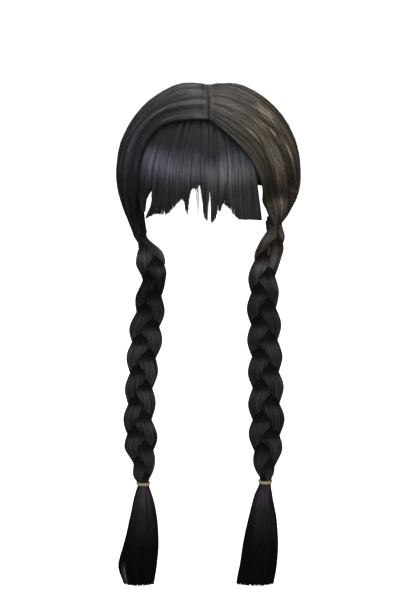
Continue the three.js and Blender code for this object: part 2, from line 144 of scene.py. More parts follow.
class Rows:
    """A table of sizes, read on smooth curves through its rows."""

    def __init__(self, columns: str, *rows: tuple[float, ...]) -> None:
        """Keep the table.

        Args:
            columns: Names of the columns after the first.
            rows: The rows, each led by its place.
        """
        table = np.array(rows, float)
        self.columns = columns.split()
        self.at = table[:, 0]
        self.values = table[:, 1:]

    def read(self, at: Array | float) -> dict[str, Array]:
        """Every column at the given places.

        Args:
            at: The places.

        Returns:
            Column name to values.
        """
        at = np.asarray(at, float)
        i = np.clip(np.searchsorted(self.at, at) - 1, 0, len(self.at) - 2)
        steps = np.diff(self.at)
        secants = np.diff(self.values, axis=0) / steps[:, None]
        slopes = np.concatenate([secants[:1], (secants[1:] + secants[:-1]) / 2, secants[-1:]])
        t = ((at - self.at[i]) / steps[i])[..., None]
        low, high, span = self.values[i], self.values[i + 1], steps[i][..., None]
        curve = (
            low * (1 + 2 * t) * (1 - t) ** 2
            + high * t**2 * (3 - 2 * t)
            + span * t * (1 - t) * (slopes[i] * (1 - t) - slopes[i + 1] * t)
        )
        return {name: curve[..., k] for k, name in enumerate(self.columns)}

    def straight(self, at: Array) -> dict[str, Array]:
        """Every column at the given places, on straight lines between the rows."""
        return {name: np.interp(at, self.at, self.values[:, k]) for k, name in enumerate(self.columns)}


@dataclass(frozen=True)
class Head:
    """The head that the cap fits, as an ellipsoid round its centre."""

    half_width: float = 78
    half_length: float = 97
    rise: float = 86

    @property
    def halves(self) -> Array:
        """The half sizes along X, Y and Z."""
        return np.array([self.half_width, self.half_length, self.rise])

    @property
    def centre(self) -> Array:
        """The centre, at the widest level."""
        return np.array([0, 0, -self.rise])

    @staticmethod
    def direction(around: Array | float, above: Array | float) -> Array:
        """Unit directions by angles in degrees.

        Args:
            around: Angle round from the front.
            above: Angle above the widest level.

        Returns:
            The directions from the head's centre.
        """
        a, b = np.broadcast_arrays(np.radians(around), np.radians(above))
        return np.stack([np.sin(a) * np.cos(b), -np.cos(a) * np.cos(b), np.sin(b)], axis=-1)

    def over(self, unit: Array, lift: Array | float) -> Array:
        """Points at a lift over the head.

        Args:
            unit: Directions from the centre.
            lift: Height over the head.

        Returns:
            The points.
        """
        return unit * (self.halves + np.asarray(lift, float)[..., None]) + self.centre

    def at_least(self, points: Array, lift: Array | float) -> Array:
        """Push points out along their rays until they have the lift.

        Args:
            points: The points.
            lift: The least lift of each.

        Returns:
            The same points, or those pushed out.
        """
        away = points - self.centre
        halves = self.halves + np.asarray(lift, float)[..., None]
        reach = np.sqrt(np.sum((away / halves) ** 2, axis=-1))[..., None]
        return np.where(reach < 1, away / np.maximum(reach, 1e-9), away) + self.centre


@dataclass
class Strands:
    """Many thin tapered strands of hair.

    paths holds a row of points for each strand and radius its half thickness there. flow is the
    place across and along the hair and the strand's own tint, and shade its brightness: painted
    light and shade, with some random tone.
    """

    paths: Array
    radius: Array
    flow: Array
    shade: Array

    @staticmethod
    def join(parts: list["Strands"]) -> "Strands":
        """Several batches of equal steps as one."""
        names = ("paths", "radius", "flow", "shade")
        return Strands(*(np.concatenate([getattr(p, n) for p in parts]) for n in names))

    def lines(self, name: str) -> bpy.types.Object:
        """The strands' centre lines as a mesh of edges with their sizes as attributes.

        Args:
            name: Name of the object.

        Returns:
            The object, linked to the scene.
        """
        count, steps = self.radius.shape
        points = (self.paths * METRES).reshape(-1, 3)
        first = (np.arange(count) * steps)[:, None] + np.arange(steps - 1)
        edges = np.stack([first, first + 1], axis=-1).reshape(-1, 2)
        mesh = bpy.data.meshes.new(name)
        mesh.vertices.add(len(points))
        mesh.vertices.foreach_set("co", points.ravel().astype(np.float32))
        mesh.edges.add(len(edges))
        mesh.edges.foreach_set("vertices", edges.ravel().astype(np.int32))
        write_attributes(mesh, self.flow.reshape(-1, 3), self.shade.ravel())
        thickness = mesh.attributes.new("strand_radius", "FLOAT", "POINT")
        thickness.data.foreach_set("value", (self.radius * METRES).ravel().astype(np.float32))
        mesh.update()
        obj = bpy.data.objects.new(name, mesh)
        bpy.context.scene.collection.objects.link(obj)
        return obj


def write_attributes(mesh: bpy.types.Mesh, flow: Array, shade: Array) -> None:
    """Write what the hair's finish reads.

    Args:
        mesh: The mesh to write on.
        flow: Place across, place along and tint of each vertex.
        shade: Brightness of each vertex.
    """
    attribute = mesh.attributes.new("flow", "FLOAT_VECTOR", "POINT")
    attribute.data.foreach_set("vector", flow.ravel().astype(np.float32))
    attribute = mesh.attributes.new("shade", "FLOAT", "POINT")
    attribute.data.foreach_set("value", shade.ravel().astype(np.float32))


@dataclass
class Shell:
    """A closed body through rings of equal length."""

    rings: Array
    flow: Array
    shade: Array
    stitched: int = 0

    def faces(self) -> list[list[int]]:
        """All faces: sides and both ends.

        A flat ring is closed by a fan. A crescent ring, whose inner side has one point for each
        `stitched` of the outer side, is closed by stitching the two sides together.

        Returns:
            Lists of vertex numbers.
        """
        count, sides = self.rings.shape[:2]
        i = np.arange(sides)
        nxt = (i + 1) % sides
        sheets = []
        for r in range(count - 1):
            a, b = r * sides, (r + 1) * sides
            sheets.append(np.stack([a + i, a + nxt, b + nxt, b + i], axis=-1))
        faces = np.concatenate(sheets).tolist()
        end = (count - 1) * sides
        if self.stitched:
            inner = round((sides - 2) / (self.stitched + 1))
            outer = inner * self.stitched
            for k in range(inner):
                low = k * self.stitched
                side = list(range(low, low + self.stitched + 1))
                back = outer + 1 + inner - k
                ring = side + [back - 1, back]
                faces.append(ring[::-1])
                faces.append([end + v for v in ring])
        else:
            hub = count * sides
            faces += [[hub, int(n), int(k)] for k, n in zip(i, nxt)]
            faces += [[hub + 1, int(end + k), int(end + n)] for k, n in zip(i, nxt)]
        return faces

    def points(self) -> Array:
        """All vertices, with the two hubs of the fans where the ends are flat.

        Returns:
            The vertices in millimetres.
        """
        flat = self.rings.reshape(-1, 3)
        if self.stitched:
            return flat
        return np.concatenate([flat, [self.rings[0].mean(0), self.rings[-1].mean(0)]])

    def build(self, name: str) -> bpy.types.Object:
        """The shell as an object with its faces pointing out.

        Args:
            name: Name of the object.

        Returns:
            The object.
        """
        points, faces = self.points(), self.faces()
        extra = len(points) - self.rings.shape[0] * self.rings.shape[1]
        flow, shade = self.flow.reshape(-1, 3), self.shade.ravel()
        if extra:
            flow = np.concatenate([flow, self.flow[[0, -1], 0]])
            shade = np.concatenate([shade, self.shade[[0, -1], 0]])
        if signed_volume(points, faces) < 0:
            faces = [face[::-1] for face in faces]
        return mesh_object(name, points, faces, flow, shade)


def signed_volume(points: Array, faces: list[list[int]]) -> float:
    """Volume inside closed faces, below 0 where they point in.

    Args:
        points: The vertices.
        faces: Lists of vertex numbers.

    Returns:
        The volume.
    """
    fans = [(f[0], f[k], f[k + 1]) for f in faces for k in range(1, len(f) - 1)]
    a, b, c = (points[[fan[k] for fan in fans]] for k in range(3))
    return float(np.einsum("ij,ij->", a, np.cross(b, c)) / 6)


def mesh_object(
    name: str, points: Array, faces: list[list[int]], flow: Array, shade: Array
) -> bpy.types.Object:
    """An object with smooth faces and the attributes that the finishes read.

    Args:
        name: Name of the object.
        points: Vertices in millimetres.
        faces: Lists of vertex numbers.
        flow: Place across, place along and tint of each vertex.
        shade: Brightness of each vertex.

    Returns:
        The object, linked to the scene.
    """
    mesh = bpy.data.meshes.new(name)
    mesh.from_pydata((points * METRES).tolist(), [], faces)
    write_attributes(mesh, flow, shade)
    mesh.polygons.foreach_set("use_smooth", np.ones(len(mesh.polygons), bool))
    mesh.update()
    obj = bpy.data.objects.new(name, mesh)
    bpy.context.scene.collection.objects.link(obj)
    return obj


class StrandTree:
    """Geometry Nodes that turn lines into closed tubes of tapering thickness."""

    def __init__(self) -> None:
        """Build the node tree."""
        tree = bpy.data.node_groups.new("strand_tubes", "GeometryNodeTree")
        face = tree.interface
        face.new_socket("Geometry", in_out="INPUT", socket_type="NodeSocketGeometry")
        face.new_socket("Sides", in_out="INPUT", socket_type="NodeSocketInt").default_value = 3
        face.new_socket("Finish", in_out="INPUT", socket_type="NodeSocketMaterial")
        face.new_socket("Geometry", in_out="OUTPUT", socket_type="NodeSocketGeometry")
        new, link = tree.nodes.new, tree.links.new
        given = new("NodeGroupInput")
        curve = new("GeometryNodeMeshToCurve")
        radius = new("GeometryNodeInputNamedAttribute")
        radius.data_type = "FLOAT"
        radius.inputs["Name"].default_value = "strand_radius"
        profile = new("GeometryNodeCurvePrimitiveCircle")
        profile.inputs["Radius"].default_value = 1
        tube = new("GeometryNodeCurveToMesh")
        tube.inputs["Fill Caps"].default_value = True
        round_off = new("GeometryNodeSetShadeSmooth")
        real = new("GeometryNodeRealizeInstances")
        dress = new("GeometryNodeSetMaterial")
        out = new("NodeGroupOutput")
        link(given.outputs["Geometry"], curve.inputs["Mesh"])
        link(curve.outputs["Curve"], tube.inputs["Curve"])
        link(radius.outputs["Attribute"], tube.inputs["Scale"])
        link(given.outputs["Sides"], profile.inputs["Resolution"])
        link(profile.outputs["Curve"], tube.inputs["Profile Curve"])
        link(tube.outputs["Mesh"], round_off.inputs["Geometry"])
        link(round_off.outputs["Geometry"], real.inputs["Geometry"])
        link(real.outputs["Geometry"], dress.inputs["Geometry"])
        link(given.outputs["Finish"], dress.inputs["Material"])
        link(dress.outputs["Geometry"], out.inputs["Geometry"])
        self.tree = tree

    def tubes(
        self, lines: bpy.types.Object, finish: bpy.types.Material, sides: int = 3
    ) -> bpy.types.Object:
        """The tubes round some lines as a plain mesh.

        Args:
            lines: Object of edges with their sizes, which is used up.
            finish: Material of the tubes.
            sides: Sides of each tube.

        Returns:
            An object with the finished mesh.
        """
        modifier = lines.modifiers.new("strand_tubes", "NODES")
        modifier.node_group = self.tree
        values = {"Sides": sides, "Finish": finish}
        for item in self.tree.interface.items_tree:
            if item.in_out == "INPUT" and item.name in values:
                modifier[item.identifier] = values[item.name]
        bpy.context.view_layer.update()
        ready = lines.evaluated_get(bpy.context.evaluated_depsgraph_get())
        mesh = bpy.data.meshes.new_from_object(ready)
        lines.modifiers.remove(modifier)
        old = lines.data
        lines.data = mesh
        bpy.data.meshes.remove(old)
        for name in ("strand_radius", "radius"):
            if name in mesh.attributes:
                mesh.attributes.remove(mesh.attributes[name])
        return lines


def join_objects(name: str, parts: list[bpy.types.Object]) -> bpy.types.Object:
    """Several mesh objects as one.

    Args:
        name: Name of the result.
        parts: The objects, which are used up.

    Returns:
        The joined object.
    """
    whole = parts[0]
    if len(parts) > 1:
        with bpy.context.temp_override(
            active_object=whole, object=whole, selected_objects=parts, selected_editable_objects=parts
        ):
            bpy.ops.object.join()
    whole.name = name
    whole.data.name = name
    return whole


def dressed(
    name: str, shell: bpy.types.Object, strands: Strands, tree: StrandTree, finish: bpy.types.Material
) -> bpy.types.Object:
    """A body and the strands on it as one object.

    Args:
        name: Name of the result.
        shell: The body, which is used up.
        strands: The strands.
        tree: What makes them tubes.
        finish: Material of both.

    Returns:
        The object.
    """
    shell.data.materials.append(finish)
    tubes = tree.tubes(strands.lines(f"{name}_lines"), finish)
    return join_objects(name, [shell, tubes])


def socket_group(name: str, inputs: dict[str, object], outputs: dict[str, str]) -> bpy.types.NodeTree:
    """A shader node group with named sockets.

    Args:
        name: Name of the group.
        inputs: Input name to default value: a number, or a colour or vector as a tuple.
        outputs: Output name to socket type.

    Returns:
        The group, with only its sockets.
    """
    group = bpy.data.node_groups.new(name, "ShaderNodeTree")
    for label, value in inputs.items():
        kind = {4: "NodeSocketColor", 3: "NodeSocketVector"}.get(
            len(value) if isinstance(value, tuple) else 1, "NodeSocketFloat"
        )
        socket = group.interface.new_socket(label, in_out="INPUT", socket_type=kind)
        socket.default_value = value
    for label, kind in outputs.items():
        group.interface.new_socket(label, in_out="OUTPUT", socket_type=kind)
    return group


def colour(text: str) -> tuple[float, float, float, float]:
    """A hexadecimal display colour as scene-linear values.

    Args:
        text: Six hexadecimal digits.

    Returns:
        Red, green, blue and an alpha of 1.
    """
    parts = [int(text[k : k + 2], 16) / 255 for k in (0, 2, 4)]
    linear = [c / 12.92 if c <= 0.04045 else ((c + 0.055) / 1.055) ** 2.4 for c in parts]
    return (*linear, 1.0)


class NodeWriter:
    """Short ways to add and link shader nodes."""

    def __init__(self, tree: bpy.types.NodeTree) -> None:
        """Keep the tree to write in."""
        self.tree = tree

    def add(self, kind: str, **settings: object) -> bpy.types.Node:
        """A new node with some of its settings.

        Args:
            kind: Type of the node.
            settings: Setting name to value.

        Returns:
            The node.
        """
        node = self.tree.nodes.new(kind)
        for name, value in settings.items():
            setattr(node, name, value)
        return node

    def feed(self, socket: bpy.types.NodeSocket, value: object) -> None:
        """Link a socket to another, or give it a value.

        Args:
            socket: The input to fill.
            value: A socket to link from, or a plain value.
        """
        if isinstance(value, bpy.types.NodeSocket):
            self.tree.links.new(value, socket)
        else:
            socket.default_value = value

    def maths(self, operation: str, *values: object) -> bpy.types.NodeSocket:
        """A Math node's result.

        Args:
            operation: What the node does.
            values: Its inputs, as sockets or numbers.

        Returns:
            The socket with the result.
        """
        node = self.add("ShaderNodeMath", operation=operation)
        for socket, value in zip(node.inputs, values):
            self.feed(socket, value)
        return node.outputs[0]

    def blend(self, factor: object, a: object, b: object, how: str = "MIX") -> bpy.types.NodeSocket:
        """A colour mix's result.

        Args:
            factor: Share of the second colour.
            a: The first colour.
            b: The second colour.
            how: The way of mixing.

        Returns:
            The socket with the colour.
        """
        node = self.add("ShaderNodeMix", data_type="RGBA", blend_type=how)
        for index, value in ((0, factor), (6, a), (7, b)):
            self.feed(node.inputs[index], value)
        return node.outputs[2]

    def spread(
        self, value: object, low: float, high: float, start: float, end: float
    ) -> bpy.types.NodeSocket:
        """A smooth Map Range's result.

        Args:
            value: What is mapped.
            low: Where the step starts.
            high: Where it is done.
            start: Result up to low.
            end: Result from high on.

        Returns:
            The socket with the result.
        """
        node = self.add("ShaderNodeMapRange", interpolation_type="SMOOTHSTEP")
        for socket, given in zip(node.inputs, (value, low, high, start, end)):
            self.feed(socket, given)
        return node.outputs[0]

    def noise(self, place: object, detail: float = 3.0) -> bpy.types.NodeSocket:
        """A noise texture's value at a place.

        Args:
            place: Where it is read.
            detail: How fine it gets.

        Returns:
            The socket with the value.
        """
        node = self.add("ShaderNodeTexNoise")
        self.feed(node.inputs["Vector"], place)
        node.inputs["Scale"].default_value = 1
        node.inputs["Detail"].default_value = detail
        return node.outputs[0]

    def scaled(self, place: object, across: float, along: float, tint: float) -> bpy.types.NodeSocket:
        """A place stretched for a pattern.

        Args:
            place: The place.
            across: Factor on the first axis.
            along: Factor on the second.
            tint: Factor on the third.

        Returns:
            The socket with the stretched place.
        """
        node = self.add("ShaderNodeVectorMath", operation="MULTIPLY")
        self.feed(node.inputs[0], place)
        self.feed(node.inputs[1], (across, along, tint))
        return node.outputs[0]

    def relief(self, height: object, strength: float, distance: float) -> bpy.types.NodeSocket:
        """The normals of a relief.

        Args:
            height: Height of the relief.
            strength: How strongly it shows.
            distance: Its depth in metres.

        Returns:
            The socket with the normals.
        """
        node = self.add("ShaderNodeBump")
        node.inputs["Strength"].default_value = strength
        node.inputs["Distance"].default_value = distance
        self.feed(node.inputs["Height"], height)
        return node.outputs["Normal"]


def blank_material(name: str) -> tuple[bpy.types.Material, NodeWriter, bpy.types.Node]:
    """A new material with only its main shader.

    Args:
        name: Name of the material.

    Returns:
        The material, the writer of its nodes, and its main shader.
    """
    material = bpy.data.materials.new(name)
    material.use_nodes = True
    return material, NodeWriter(material.node_tree), material.node_tree.nodes["Principled BSDF"]


class HairStreaks:
    """The shared effect of long fibres lying side by side: streaks of colour, gloss and relief."""

    def __init__(self) -> None:
        """Build the node group."""
        group = socket_group(
            "hair_streaks",
            {
                "Flow": (0.0, 0.0, 0.0),
                "Shade": 1.0,
                "Dark": (0.01, 0.01, 0.01, 1.0),
                "Light": (0.06, 0.06, 0.06, 1.0),
                "Contrast": 1.0,
                "Rough": 0.4,
            },
            {"Color": "NodeSocketColor", "Roughness": "NodeSocketFloat", "Height": "NodeSocketFloat"},
        )
        w = NodeWriter(group)
        given = w.add("NodeGroupInput").outputs
        out = w.add("NodeGroupOutput").inputs
        fine = w.noise(w.scaled(given["Flow"], 1.9, 0.035, 31.0), 4.0)
        tress = w.noise(w.scaled(given["Flow"], 0.22, 0.012, 3.0), 2.0)
        tint = w.add("ShaderNodeSeparateXYZ")
        w.feed(tint.inputs[0], given["Flow"])
        streak = w.maths("ADD", w.maths("MULTIPLY", fine, 0.5), w.maths("MULTIPLY", tress, 1.1))
        streak = w.maths("ADD", streak, w.maths("MULTIPLY", tint.outputs[2], 0.35))
        streak = w.maths("MULTIPLY", w.maths("SUBTRACT", streak, 0.97), given["Contrast"])
        mask = w.spread(w.maths("ADD", streak, 0.5), 0.0, 1.0, 0.0, 1.0)
        streaked = w.blend(mask, given["Dark"], given["Light"])
        # The streaked colour is multiplied by Shade, which carries painted light and shade.
        shade = w.add("ShaderNodeCombineColor")
        for socket in shade.inputs[:3]:
            w.feed(socket, given["Shade"])
        # Painted highlights, where Shade is high, are made less saturated.
        paler_highlights = w.add("ShaderNodeHueSaturation")
        w.feed(paler_highlights.inputs["Saturation"], w.spread(given["Shade"], 1.1, 2.6, 1.0, 0.55))
        w.feed(paler_highlights.inputs["Color"], w.blend(1.0, streaked, shade.outputs[0], "MULTIPLY"))
        w.feed(out["Color"], paler_highlights.outputs["Color"])
        rough = w.maths("ADD", given["Rough"], w.maths("MULTIPLY", w.maths("SUBTRACT", fine, 0.5), 0.15))
        w.feed(out["Roughness"], w.maths("ADD", rough, w.spread(given["Shade"], 0.2, 1.0, 0.3, 0.0)))
        w.feed(out["Height"], w.maths("ADD", fine, w.maths("MULTIPLY", tress, 0.5)))
        self.group = group


@dataclass(frozen=True)
class HairFinish:
    """One shade of the wig's hair.

    upper is a painted sheen: the colour near the start of the hair, where it turns up towards the lamps,
    which has faded at upper_length.
    """

    name: str
    dark: str
    light: str
    upper: str = ""
    upper_length: float = 40
    rough: float = 0.42
    contrast: float = 1.0
    relief: float = 0.25
    gloss: float = 0.5

    def material(self, streaks: HairStreaks) -> bpy.types.Material:
        """The finish as a material.

        Args:
            streaks: The shared streak effect.

        Returns:
            The material.
        """
        material, w, shader = blank_material(self.name)
        flow = w.add("ShaderNodeAttribute", attribute_name="flow")
        shade = w.add("ShaderNodeAttribute", attribute_name="shade")
        effect = w.add("ShaderNodeGroup", node_tree=streaks.group)
        w.feed(effect.inputs["Flow"], flow.outputs["Vector"])
        w.feed(effect.inputs["Shade"], shade.outputs["Fac"])
        effect.inputs["Dark"].default_value = colour(self.dark)
        place = w.add("ShaderNodeSeparateXYZ")
        w.feed(place.inputs[0], flow.outputs["Vector"])
        # The painted sheen near the start of the hair fades into the light colour.
        faded = w.spread(place.outputs[1], 0.4 * self.upper_length, self.upper_length, 0.0, 1.0)
        light = w.blend(faded, colour(self.upper or self.light), colour(self.light))
        w.feed(effect.inputs["Light"], light)
        effect.inputs["Contrast"].default_value = self.contrast
        effect.inputs["Rough"].default_value = self.rough
        w.feed(shader.inputs["Base Color"], effect.outputs["Color"])
        w.feed(shader.inputs["Roughness"], effect.outputs["Roughness"])
        w.feed(shader.inputs["Normal"], w.relief(effect.outputs["Height"], self.relief, 0.0005))
        shader.inputs["Specular IOR Level"].default_value = self.gloss
        return material


@dataclass(frozen=True)
class ThreadFinish:
    """The thread wound round the elastics."""

    name: str = "wound_thread"
    light: str = "bdb08a"
    dark: str = "6e6044"

    def material(self) -> bpy.types.Material:
        """The finish as a material: fine slanting threads with darker grooves, painted as shade.

        Returns:
            The material.
        """
        material, w, shader = blank_material(self.name)
        flow = w.add("ShaderNodeAttribute", attribute_name="flow").outputs["Vector"]
        place = w.add("ShaderNodeSeparateXYZ")
        w.feed(place.inputs[0], flow)
        along = w.maths("MULTIPLY", place.outputs[1], 7.0)
        slant = w.maths("ADD", along, w.maths("MULTIPLY", place.outputs[0], 2.0))
        thread = w.maths("ABSOLUTE", w.maths("SINE", slant))
        object_place = w.add("ShaderNodeTexCoord").outputs["Object"]
        cloud = w.noise(w.scaled(object_place, 900.0, 900.0, 900.0), 3.0)
        # The grooves between the threads are painted darker, as shade; the cloud adds uneven tone.
        mask = w.spread(w.maths("ADD", thread, w.maths("MULTIPLY", cloud, 0.5)), 0.2, 1.2, 0.0, 1.0)
        w.feed(shader.inputs["Base Color"], w.blend(mask, colour(self.dark), colour(self.light)))
        w.feed(shader.inputs["Roughness"], w.spread(cloud, 0.3, 0.7, 0.45, 0.65))
        w.feed(shader.inputs["Normal"], w.relief(thread, 0.5, 0.0002))
        shader.inputs["Sheen Weight"].default_value = 0.3
        return material


@dataclass(frozen=True)
class NetFinish:
    """The knitted net of the cap."""

    name: str = "knitted_net"
    thread: str = "262423"
    hollow_shade: str = "0d0c0c"
    mesh: float = 1.3

    def material(self) -> bpy.types.Material:
        """The finish as a material: a small diamond mesh that follows the cap, its holes painted dark as
        shade.

        Returns:
            The material.
        """
        material, w, shader = blank_material(self.name)
        flow = w.add("ShaderNodeAttribute", attribute_name="flow").outputs["Vector"]
        place = w.add("ShaderNodeSeparateXYZ")
        w.feed(place.inputs[0], flow)
        rate = math.pi / self.mesh
        lines = []
        for sign in (1.0, -1.0):
            across = w.maths("MULTIPLY", place.outputs[0], rate)
            along = w.maths("MULTIPLY", place.outputs[1], rate * sign)
            lines.append(w.maths("ABSOLUTE", w.maths("SINE", w.maths("ADD", across, along))))
        knit = w.maths("MAXIMUM", lines[0], lines[1])
        mask = w.spread(knit, 0.75, 0.98, 0.0, 1.0)
        # The holes of the mesh are painted dark, as the shade inside the cap.
        w.feed(shader.inputs["Base Color"], w.blend(mask, colour(self.hollow_shade), colour(self.thread)))
        w.feed(shader.inputs["Roughness"], w.spread(knit, 0.6, 1.0, 0.95, 0.8))
        w.feed(shader.inputs["Normal"], w.relief(mask, 0.6, 0.0004))
        shader.inputs["Specular IOR Level"].default_value = 0.3
        return material


def hang(piece: bpy.types.Object, node: str, slot: str) -> bpy.types.Object:
    """Let a finished piece ride on the wig and stand for its node.

    Args:
        piece: The piece.
        node: The node that it replaces.
        slot: Not used.

    Returns:
        The piece.
    """
    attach(piece, "root")
    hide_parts(node)
    triangles = sum(len(face.vertices) - 2 for face in piece.data.polygons)
    log.info("%s: %d triangles", piece.name, triangles)
    return piece


ROOT_LINE = Rows(
    "above",
    (-58, 38),
    (-54, 42),
    (-47.5, 50),
    (-41, 54),
    (-34, 57),
    (-27, 59),
    (-20.5, 61),
    (-12, 62),
    (-5, 61),
    (0, 60),
    (5, 58),
    (10.5, 55),
    (15.5, 50),
    (21, 45),
    (26, 40),
    (31, 32),
    (35.5, 25),
)

HEM = Rows(
    "tip hang bow",
    (-58, -59.5, 12, 0),
    (-53, -56.5, 22, -0.5),
    (-46.7, -53.6, 32, -2),
    (-41.5, -51.2, 32.2, -3),
    (-41.44, -49.8, 38.6, 2.9),
    (-39.3, -47.2, 37, 2),
    (-37.2, -44.8, 34.5, 0.8),
    (-34.2, -40.9, 31.7, 0),
    (-31, -36.6, 30.9, 0),
    (-29.4, -33.6, 30.8, 0),
    (-28.8, -32.2, 26, 0),
    (-27.9, -30.9, 30.8, 0),
    (-26.8, -29.6, 28.8, 0),
    (-24.9, -27.5, 25.7, 0),
    (-22.7, -24.5, 20.8, 0),
    (-20.5, -20.9, 14.9, 0),
    (-18.7, -17.9, 10.9, 0),
    (-17.5, -16.9, 15.4, 0),
    (-16.6, -15.9, 22.8, 0),
    (-15.5, -15, 27.9, 0),
    (-14.3, -14.1, 20.5, 0),
    (-13.4, -13.4, 9.6, 0),
    (-12.4, -12.1, 1.8, 0),
    (-10, -9.6, -1.3, 0),
    (-9, -8.7, 1, 0),
    (-7.6, -7.3, -2.3, 0),
    (-6.6, -6.3, -5.6, 0),
    (-5.7, -5.3, -1.8, 0),
    (-5.2, -4.5, 4.7, 0),
    (-4.5, -3.9, 14.4, 0),
    (-3.6, -3.7, 22.5, 0),
    (-2.8, -3.3, 28, 0),
    (-1, -2.2, 32, -0.2),
    (0.72, -1, 34.5, -0.4),
    (0.76, 1.7, 35, 0.4),
    (2.2, 2.4, 35.2, 0.3),
    (3.6, 3.6, 33.9, 0),
    (5.3, 5.1, 30.2, 0),
    (6, 5.9, 26.4, 0),
    (6.6, 6.5, 19, 0),
    (7.3, 7.3, 24.5, 0),
    (8.4, 8.4, 22.8, 0),
    (9.2, 9.2, 18, 0),
    (10, 10, 15.5, 0),
    (11.8, 12, 18, 0),
    (13.9, 14.6, 21.6, 0),
    (16, 17.7, 28.7, 0),
    (18.8, 21.2, 34, 0),
    (21.7, 24.2, 34.8, 0),
    (26.1, 29.2, 35.5, 0),
    (30.7, 34.7, 36.9, 0),
    (35.3, 39.6, 38.4, 0),
)


@dataclass(frozen=True)
class Wisp:
    """A few loose hairs that hang past the hem, by angles round from the front."""

    middle: float
    tip: float
    hang: float
    hairs: int


WISPS = (
    Wisp(-29, -33.4, 32, 4),
    Wisp(-8.4, -7.2, 27, 6),
    Wisp(-7.2, -6.9, 19, 4),
    Wisp(-5.4, -3.2, 23, 6),
    Wisp(10.6, 11.4, 21, 4),
    Wisp(12, 13.6, 25, 4),
    Wisp(14.5, 16.4, 29, 4),
)


